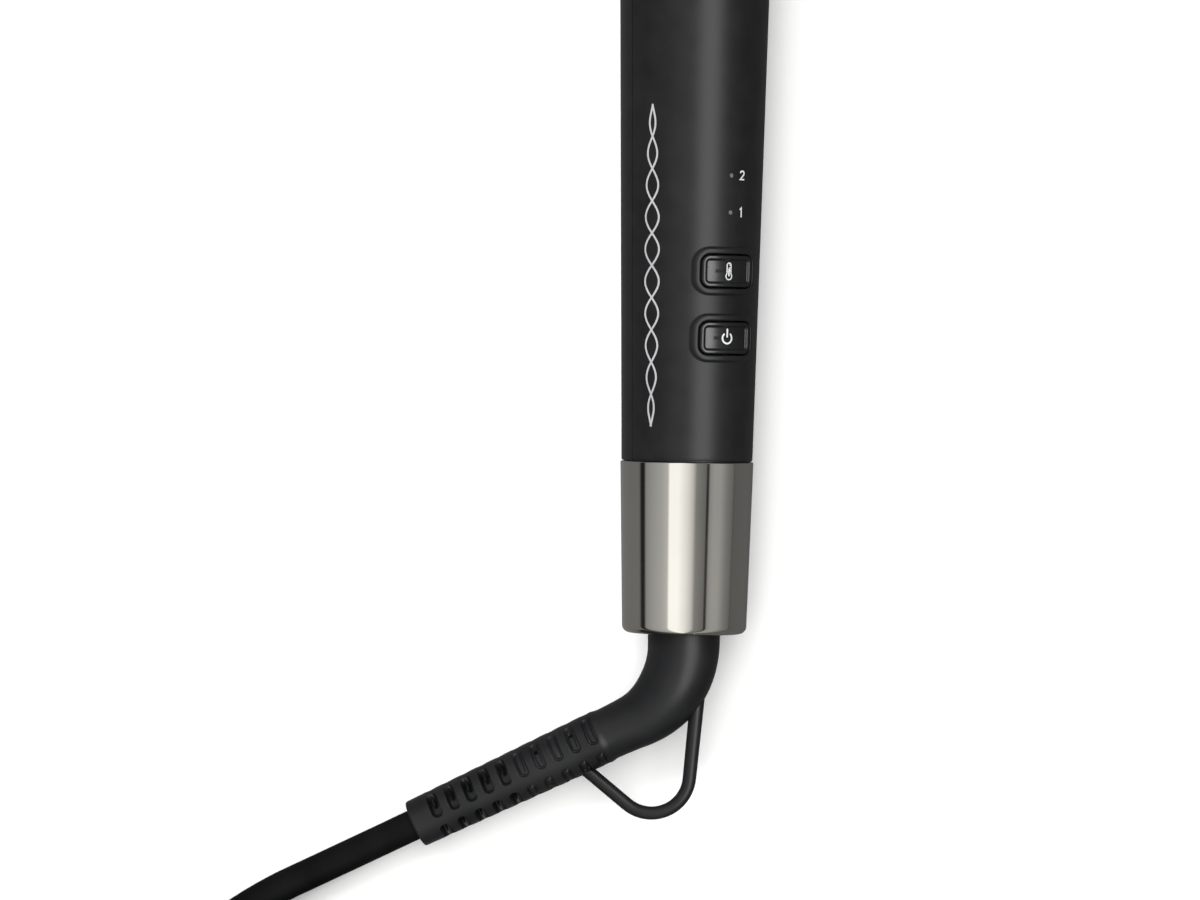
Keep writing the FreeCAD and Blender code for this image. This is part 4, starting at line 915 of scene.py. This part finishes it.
def make_loop(sizes):
    """The rod of the hanging loop, round its one bend and thin where it meets the guard."""
    start, corner, end = (Vector((*point, 0)) for point in LOOP_ROUTE)
    path, radii = [], []
    outward, inward = (start - corner).normalized(), (end - corner).normalized()
    half = outward.angle(inward) / 2
    reach = LOOP_BEND / math.tan(half)
    middle = corner + (outward + inward).normalized() * (LOOP_BEND / math.sin(half))
    for share in spread(0, 1, 0.05):
        path.append(start.lerp(corner + outward * reach, share))
    first, last = path[-1] - middle, corner + inward * reach - middle
    sweep = first.angle(last) * (1 if first.cross(last).z > 0 else -1)
    for share in spread(0, 1, 0.05)[1:]:
        path.append(middle + Matrix.Rotation(sweep * share, 3, "Z") @ first)
    for share in spread(0, 1, 0.05)[1:]:
        path.append((corner + inward * reach).lerp(end, share))
    for index, point in enumerate(path):
        near = min((point - start).length, (point - end).length)
        thick = sizes.loop_radius + 0.14 * (1 - ramp(index / len(path) * 2.2))
        radii.append(thick * (0.6 + 0.4 * ramp(near / 3.0)))
    return tube("loop", path, radii)


GUARD_ROOT = -3.0               # where it starts, inside the collar
GUARD_SIDES = 240
CORD_SPARE = 0.05               # the gap between the guard's hole and the lead


def make_guard(sizes, cord_radius):
    """The moulded bend and slotted sleeve in one skin, and the rod of the hanging loop."""
    arc = sizes.bend_radius * sizes.turn
    bend_end = sizes.bend_start + arc
    sleeve = bend_end + sizes.plain_length
    total = bend_end + sizes.length
    knots = [(GUARD_ROOT, sizes.root_radius), (sizes.bend_start, sizes.root_radius),
             (sizes.bend_start + arc / 2, sizes.root_radius - 0.45),
             (bend_end, sizes.neck_radius + 0.3), (bend_end + 5, sizes.neck_radius),
             (sleeve - 1.0, sizes.neck_radius)]
    up = Vector((0, 0, 1))
    angles = [math.tau * step / GUARD_SIDES for step in range(GUARD_SIDES)]
    rows = []

    def ring(distance, radius_at):
        centre, heading = guard_centre(sizes, distance)
        side = up.cross(heading)
        rows.append([centre + (side * math.cos(angle) + up * math.sin(angle))
                     * radius_at(angle) for angle in angles])

    for distance in spread(GUARD_ROOT, sleeve - 1.6, 0.7):
        ring(distance, lambda angle: through(knots, distance))
    taper = (sizes.end_radius - sizes.sleeve_radius) / (total - sleeve)
    for distance in spread(sleeve - 1.5, total - 0.35, 0.16):
        start = ramp((distance - sleeve + 1.5) / 1.8)
        radius = sizes.neck_radius * (1 - start) + start * (
            sizes.sleeve_radius + (distance - sleeve) * taper)

        def cut(angle):
            row = (angle - math.pi / 2 - sizes.row_turn) % (math.pi / 2)
            around = row if row < math.pi / 4 else row - math.pi / 2
            return radius - slot_depth(sizes, distance - bend_end, around, radius)
        ring(distance, cut)
    end, hole = sizes.end_radius, cord_radius + CORD_SPARE
    for distance, radius in ((total - 0.1, end - 0.1), (total, end - 0.4),
                             (total, cord_radius + 0.35), (total - 0.3, hole),
                             (total - 4, hole)):
        ring(distance, lambda angle: radius)
    skin = surface("guard", rows, close_rows=True, caps=True)

    guard = finished("cord_guard_moulding", joined("guard", [skin, make_loop(sizes)]),
                     iron_frame(-sizes.droop), "guard_rubber", "cord_set")
    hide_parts("cord_guard")


# ------------------------------------------------------------------ barrel, tip and clamp

BARREL_SEAT, BARREL_WALL = 8.0, 0.9
SPARE = 0.3                     # the gap between barrel, heat collar and handle
TIP_RADIUS = 14.0
GROOVE_PITCH, GROOVE_DEPTH = 3.2, 0.45
DOME = 6.0                      # the radius of the tip's rounded end


def make_barrel(sizes, handle_end):
    """The coated barrel, the heat collar round its root and the cool tip in its end."""
    place = iron_frame()
    root, end = handle_end - BARREL_SEAT, sizes.barrel_end
    radius, wall = sizes.barrel_radius, BARREL_WALL
    barrel = lathe("barrel_tube", rounded_profile([
        (root, radius, 0.3), (end, radius, 0.3), (end, radius - wall, 0.2),
        (root, radius - wall, 0.2)], 4), 256)
    barrel = finished("barrel_tube", barrel, place, "barrel_coat", "handle")
    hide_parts("barrel")
    start, front = handle_end + SPARE, handle_end + 12.0
    bore = radius + SPARE
    shield = lathe("heat_collar", rounded_profile([
        (start, bore, 0.2), (start, 16.2, 0.7), (start + 4.2, 15.9, 0.3), (start + 4.6, 15.4, 0.3),
        (start + 5.6, 15.35, 0.3), (start + 6.0, 15.7, 0.3), (front - 1.5, 15.0, 1.4),
        (front, 13.4, 0.4), (front, bore, 0.2)], 6))
    shield = finished("heat_collar", shield, place, "tip_black", "handle")
    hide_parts("barrel_collar")
    plug = radius - wall - 0.15
    tip = [(end - 8.0, 0.4), (end - 8.0, plug - 0.5), (end - 7.5, plug), (end + 0.02, plug),
           (end + 0.02, 13.4), (end + 0.25, 13.8), (end + 0.7, TIP_RADIUS),
           (end + 2.3, TIP_RADIUS), (end + 2.75, 13.8), (end + 3.0, 13.4), (end + 3.3, 12.4),
           (end + 3.8, 11.6)]
    for place_on, radius_there in knotted([(end + 4.2, 11.3), (end + 8.0, 11.1),
                                           (end + 16.0, 11.0), (end + 19.0, 10.9)], 0.25):
        off = abs((place_on - end - 8.2) % GROOVE_PITCH - GROOVE_PITCH / 2)
        groove = max(0.0, 1 - off / 0.7)
        deep = GROOVE_DEPTH * ramp(groove) if end + 7 < place_on < end + 17.5 else 0.0
        tip.append((place_on, radius_there - deep))
    tip += [(end + 19.0 + DOME * math.sin(math.radians(turn)),
             10.9 - DOME * (1 - math.cos(math.radians(turn)))) for turn in range(6, 91, 6)]
    tip.append((end + 25.0, 0.4))
    tip = finished("cool_tip_moulding", turned_solid("tip", tip), place, "tip_black", "handle")
    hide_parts("cool_tip")


# Places along the iron, in mm, with the lever's underside, its top and its half width.
LEVER_KNOTS = ((150.0, 30.2, 31.9, 5.6), (150.6, 29.8, 32.3, 6.6), (152.5, 29.2, 32.2, 7.4),
               (160.0, 27.6, 30.7, 7.6), (168.0, 26.0, 28.9, 7.4), (174.0, 24.6, 27.6, 5.6),
               (180.0, 23.0, 26.1, 4.2), (189.0, 20.2, 23.4, 4.0), (194.5, 15.6, 21.2, 4.0),
               (198.0, 14.0, 20.1, 4.0), (201.5, 14.4, 18.9, 4.0), (206.0, 13.72, 17.0, 4.2),
               (212.0, 13.70, 15.9, 4.5), (220.0, 13.70, 14.8, 4.7), (221.6, 13.72, 14.5, 3.9))
RIB_PLACES, RIB_PITCH = (153.5, 166.5), 2.2


def make_lever():
    """The thumb lever, thin over the clamp and wide at its ribbed pad."""
    lows, highs, halves = ([(knot[0], knot[at]) for knot in LEVER_KNOTS] for at in (1, 2, 3))
    stations = [(place, 0.0, through(lows, place), through(highs, place),
                 through(halves, place), 0.9)
                for place in spread(LEVER_KNOTS[0][0], LEVER_KNOTS[-1][0], 0.5)]
    ribs = []
    for place in spread(*RIB_PLACES, RIB_PITCH):
        high = through(highs, place) - 0.12
        ribs.append(tube("rib", [Vector((place, y, high)) for y in spread(-5.6, 5.6, 1.4)],
                         [0.15] + [0.5] * 7 + [0.15], 16))
    lever = finished("thumb_lever_moulding", joined("lever", [box_loft("arm", stations)] + ribs),
                     iron_frame(), "tip_black", "clamp")
    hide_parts("thumb_lever")


# ------------------------------------------------------------------ plug and tie

def floor_place(x, y, turn, height=0.0):
    """Mm frame at a place on the floor, in metres from the tail, turned by some degrees."""
    tail = iron_frame().translation.x
    return (Matrix.Translation((x + tail, y, height))
            @ Matrix.Rotation(math.radians(turn), 4, "Z") @ Matrix.Scale(MM, 4))


# The plug, in mm.
GRIP_PITCH, GRIP_DEPTH = 2.4, 0.35
PIN_RADIUS, SLEEVE_RADIUS, PIN_HOLE = 1.92, 2.6, 1.5
PIN_REACH = 9.95                # how far the pins' sleeves stand out of the body
RELIEF_START, RELIEF_END = 5.3, 4.0         # radii
RELIEF_PITCH, RELIEF_DEPTH = 3.4, 0.95


def pin_sleeve(face, side):
    """The sleeve of one pin, hollow for it, on one side of the plug's face."""
    profile = ((face + 1, PIN_HOLE), (face + 1, SLEEVE_RADIUS), (face - 0.35, SLEEVE_RADIUS),
               (face - 0.5, 2.45), (face - 0.5, PIN_RADIUS), (face - 9.8, PIN_RADIUS),
               (face - PIN_REACH, 1.84), (face - PIN_REACH, PIN_HOLE))
    return surface("sleeve", [[Vector((along, side + point.y, point.z))
                               for point in ring_row(0, radius, 48)]
                              for along, radius in profile],
                   close_rows=True, close_columns=True)


def make_plug(sizes):
    """The moulded plug with sleeved pins, and the ribbed strain relief behind it."""
    place = floor_place(sizes.plug_x, sizes.plug_y, 90, sizes.plug_thickness / 2)
    half, tall = sizes.plug_length / 2 / MM, sizes.plug_thickness / 2 / MM
    widths = [(-half, 11.6), (-half + 0.5, 12.6), (-half + 1.6, 13.4), (-10.0, 16.8),
              (-5.0, 17.6), (0.0, 17.5), (5.0, 15.6), (10.0, 11.4), (14.0, 8.0), (half, 6.6)]
    heights = [(-half, tall - 1.7), (-half + 0.5, tall - 0.7), (-half + 1.6, tall - 0.1),
               (-5.0, tall), (6.0, tall), (13.0, tall - 0.5), (half, tall - 1.2)]
    stations = []
    for step in spread(-half, half, 0.5):
        grip = max(0.0, 1 - abs(step - 1.0) / 6.5)
        wave = 0.5 + 0.5 * math.cos(math.tau * step / GRIP_PITCH)
        waist = GRIP_DEPTH * ramp(grip * 1.6) * wave
        stations.append((step, 0.0, -through(heights, step), through(heights, step),
                         through(widths, step) - waist, 4.6))
    spacing = sizes.pin_spacing / 2 / MM
    meshes = [box_loft("body", stations), pin_sleeve(-half, -spacing), pin_sleeve(-half, spacing)]
    body = finished("plug_moulding", joined("plug", meshes), place, "plug_black", "cord_set")
    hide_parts("plug_body")

    start, end = half - 0.4, half + sizes.relief_length / MM
    relief = [(start, 3.0)]
    for step in spread(start, end - 0.3, 0.15):
        radius = RELIEF_START + (RELIEF_END - RELIEF_START) * (step - start) / (end - start)
        cut = (step - start - 3.2) % RELIEF_PITCH
        groove = ramp(min(max(0.75 - abs(cut - 0.75), 0.0) / 0.25, 1.0))
        inside = start + 3.0 < step < end - 3.0
        relief.append((step, radius - (RELIEF_DEPTH * groove if inside else 0.0)))
    relief += [(end - 0.1, 3.9), (end, 3.7), (end, 3.4), (end - 1.0, 3.35), (end - 3.0, 3.32)]
    relief = finished("plug_relief", turned_solid("relief", relief, 96), place, "plug_black",
                      "cord_set")
    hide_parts("plug_grommet")


STRAP_ACROSS, STRAP_HIGH = 10.1, 6.75       # half of what the strap goes round, in mm
STRAP_LIFT = 0.32
STRAP_EDGE = 4.5                            # half of the strap's width
TIE_TURN = -120                             # where on the coil it is, in degrees


def make_tie(sizes):
    """The strap round the coil, with its overlapping end."""
    place = floor_place(sizes.coil_x, sizes.coil_y, TIE_TURN)
    middle = sizes.coil_radius / MM

    def band(layers):
        rows = []
        for lift, along in layers:
            rows.append([Vector((middle + x, along, STRAP_HIGH + STRAP_LIFT + z)) for x, z in
                         round_box(STRAP_ACROSS + lift, STRAP_HIGH + lift, 3.5 + lift, 8, 6, 6)])
        return surface("band", rows, close_rows=True, close_columns=True)

    strap = band(((-0.25, -STRAP_EDGE), (0.45, -STRAP_EDGE), (0.6, -4.35), (0.6, 4.35),
                  (0.45, STRAP_EDGE), (-0.25, STRAP_EDGE)))
    flap = surface("flap", [
        [Vector((middle - 2.0 + x, y, STRAP_HIGH * 2 + STRAP_LIFT + lift)) for x, y in
         round_box(6.0 - inset, 4.3 - inset, 1.6, 6, 4, 4)]
        for lift, inset in ((0.3, 0.0), (1.0, 0.0), (1.15, 0.12), (1.2, 0.35))],
        close_rows=True, caps=True)
    tie = finished("coil_strap", joined("tie", [strap, flap]), place, "strap_black",
                   "cord_set")
    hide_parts("cord_tie")


# ------------------------------------------------------------------ cord

# In metres, with X from the collar's tail, as for the coil.
LEAD_ROUTE = ((-0.0509, 0.0745, 0.0041), (-0.0592, 0.0916, 0.0033), (-0.0732, 0.1094, 0.0033),
              (-0.0934, 0.1212, 0.0033))
TAIL_ROUTE = ((-0.1347, 0.1270, 0.0036), (-0.1532, 0.1136, 0.0033), (-0.1636, 0.0926, 0.0033),
              (-0.1632, 0.0708, 0.0033), (-0.1630, 0.0500, 0.00685))
TURN_STEPS = 16
COIL_START = 66.0       # where the lead joins the coil, in degrees round it from X


def coil_points(sizes):
    """The coil's turns: three inwards on the floor, a climb, three outwards on top of them."""
    across = sizes.diameter * 1.015
    low, high = sizes.diameter / 2, sizes.diameter * 1.51
    places = [(1, low), (0, low), (-1, low), (-1, high), (0, high), (1, high)]
    # the step of each turn at which the cord starts to move over to the next place
    moves = [TURN_STEPS, TURN_STEPS, TURN_STEPS - 2, TURN_STEPS - 4, TURN_STEPS - 4]
    fit = 1 / (0.75 + 0.25 * math.cos(math.tau / TURN_STEPS))
    points = []
    for step in range(1, sizes.turns * TURN_STEPS + 1):
        turn = min(step // TURN_STEPS, sizes.turns - 1)
        column, height = places[turn]
        for index, start in enumerate(moves):
            done = (step - index * TURN_STEPS - start) / 2
            if 0 <= done < 1:
                share = ramp(done)
                column = places[index][0] * (1 - share) + places[index + 1][0] * share
                height = places[index][1] * (1 - share) + places[index + 1][1] * share
            elif done >= 1:
                column, height = places[index + 1]
        angle = math.radians(COIL_START + 360.0 * step / TURN_STEPS)
        radius = (sizes.coil_radius + column * across) * fit
        points.append((sizes.coil_x + radius * math.cos(angle),
                       sizes.coil_y + radius * math.sin(angle), height))
    # off the coil: round the outside of its lowest turn, down to the floor
    for step, roll in ((1, 62.0), (2, 90.0)):
        angle = math.radians(COIL_START + 360.0 * step / TURN_STEPS)
        radius = (sizes.coil_radius + across + across * math.sin(math.radians(roll))) * fit
        points.append((sizes.coil_x + radius * math.cos(angle),
                       sizes.coil_y + radius * math.sin(angle),
                       low + across * math.cos(math.radians(roll))))
    return points


def make_cord(sizes, guard):
    mouth = iron_frame(-guard.droop) @ guard_point(guard, guard.length)
    tail = iron_frame().translation.x
    laid = [*LEAD_ROUTE, *coil_points(sizes), *TAIL_ROUTE[1:]]
    points = [tuple(mouth)] + [(x + tail, y, z) for x, y, z in laid]
    curve = bpy.data.curves.new("mains_lead", "CURVE")
    curve.dimensions = "3D"
    curve.bevel_depth = sizes.diameter / 2
    curve.bevel_resolution = 8
    curve.use_fill_caps = True
    spline = curve.splines.new("NURBS")
    spline.points.add(len(points) - 1)
    for point, place in zip(spline.points, points):
        point.co = (*place, 1.0)
    spline.order_u = 3
    spline.use_endpoint_u = True
    spline.resolution_u = 8
    curve.materials.append(FINISHES["cord_rubber"])
    lead = in_scene(bpy.data.objects.new("mains_lead", curve))
    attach(lead, "cord_set")
    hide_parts("mains_cord", "cord_coil", "cord_tail")
    return lead, mouth


# ------------------------------------------------------------------ operators

class IRON_OT_stage(bpy.types.Operator):
    """Makes the floor, the light and the camera"""
    bl_idname = "iron.stage"
    bl_label = "Stage"

    def execute(self, context):
        make_stage(context.scene.iron_stage)
        return {"FINISHED"}


class IRON_OT_finishes(bpy.types.Operator):
    """Makes every finish and coats the frame's own pieces with them"""
    bl_idname = "iron.finishes"
    bl_label = "Finishes"

    def execute(self, context):
        make_finishes()
        coat_frame_nodes()
        return {"FINISHED"}


class IRON_OT_collar(bpy.types.Operator):
    """Turns the polished end collar"""
    bl_idname = "iron.collar"
    bl_label = "End collar"

    def execute(self, context):
        scene = context.scene
        make_collar(scene.iron_sizes, scene.iron_guard.root_radius + 0.3)
        return {"FINISHED"}


class IRON_OT_shell(bpy.types.Operator):
    """Moulds the handle's front shell"""
    bl_idname = "iron.shell"
    bl_label = "Front shell"

    def execute(self, context):
        make_front_shell(context.scene.iron_sizes)
        return {"FINISHED"}


class IRON_OT_buttons(bpy.types.Operator):
    """Moulds the two buttons, their icons and the lips round them"""
    bl_idname = "iron.buttons"
    bl_label = "Buttons"

    def execute(self, context):
        make_buttons(context.scene.iron_sizes)
        return {"FINISHED"}


class IRON_OT_prints(bpy.types.Operator):
    """Prints the numerals and the ribbon line on the handle"""
    bl_idname = "iron.prints"
    bl_label = "Prints"

    def execute(self, context):
        make_prints(context.scene.iron_sizes)
        return {"FINISHED"}


class IRON_OT_guard(bpy.types.Operator):
    """Moulds the cord guard with its slots and hanging loop"""
    bl_idname = "iron.guard"
    bl_label = "Cord guard"

    def execute(self, context):
        scene = context.scene
        make_guard(scene.iron_guard, scene.iron_cord.diameter / 2 / MM)
        return {"FINISHED"}


class IRON_OT_barrel(bpy.types.Operator):
    """Turns the barrel, its heat collar and its cool tip"""
    bl_idname = "iron.barrel"
    bl_label = "Barrel"

    def execute(self, context):
        make_barrel(context.scene.iron_barrel, context.scene.iron_sizes.handle_end)
        return {"FINISHED"}


class IRON_OT_lever(bpy.types.Operator):
    """Moulds the thumb lever with its ribbed pad"""
    bl_idname = "iron.lever"
    bl_label = "Thumb lever"

    def execute(self, context):
        make_lever()
        return {"FINISHED"}


class IRON_OT_plug(bpy.types.Operator):
    """Moulds the plug and its strain relief"""
    bl_idname = "iron.plug"
    bl_label = "Plug"

    def execute(self, context):
        make_plug(context.scene.iron_cord)
        return {"FINISHED"}


class IRON_OT_tie(bpy.types.Operator):
    """Straps the coil"""
    bl_idname = "iron.tie"
    bl_label = "Coil strap"

    def execute(self, context):
        make_tie(context.scene.iron_cord)
        return {"FINISHED"}


class IRON_OT_cord(bpy.types.Operator):
    """Lays the mains lead from the guard, round its coil, to the plug"""
    bl_idname = "iron.cord"
    bl_label = "Mains lead"

    def execute(self, context):
        sizes = context.scene.iron_cord
        lead, mouth = make_cord(sizes, context.scene.iron_guard)
        tuple(mouth)
        return {"FINISHED"}


class IRON_PT_panel(bpy.types.Panel):
    """Lists the operators"""
    bl_idname = "IRON_PT_panel"
    bl_label = "Curling iron"
    bl_space_type = "VIEW_3D"
    bl_region_type = "UI"
    bl_category = "Curling iron"

    def draw(self, context):
        for operator in OPERATORS:
            self.layout.operator(operator.bl_idname)


OPERATORS = (IRON_OT_stage, IRON_OT_finishes, IRON_OT_collar, IRON_OT_shell, IRON_OT_buttons,
             IRON_OT_prints, IRON_OT_barrel, IRON_OT_lever, IRON_OT_guard, IRON_OT_plug,
             IRON_OT_tie, IRON_OT_cord)
GROUPS = {"iron_sizes": IronSizes, "iron_barrel": BarrelSizes, "iron_guard": GuardSizes,
          "iron_cord": CordSizes, "iron_stage": StageSettings}


def register():
    for group in GROUPS.values():
        bpy.utils.register_class(group)
    for name, group in GROUPS.items():
        setattr(bpy.types.Scene, name, PointerProperty(type=group))
    for item in (*OPERATORS, IRON_PT_panel):
        bpy.utils.register_class(item)


def unregister():
    for item in reversed((*OPERATORS, IRON_PT_panel)):
        bpy.utils.unregister_class(item)
    for name, group in GROUPS.items():
        delattr(bpy.types.Scene, name)
        bpy.utils.unregister_class(group)


def main():
    register()
    for operator in OPERATORS:
        group, name = operator.bl_idname.split(".")
        getattr(getattr(bpy.ops, group), name)()


if __name__ == "__main__":
    main()
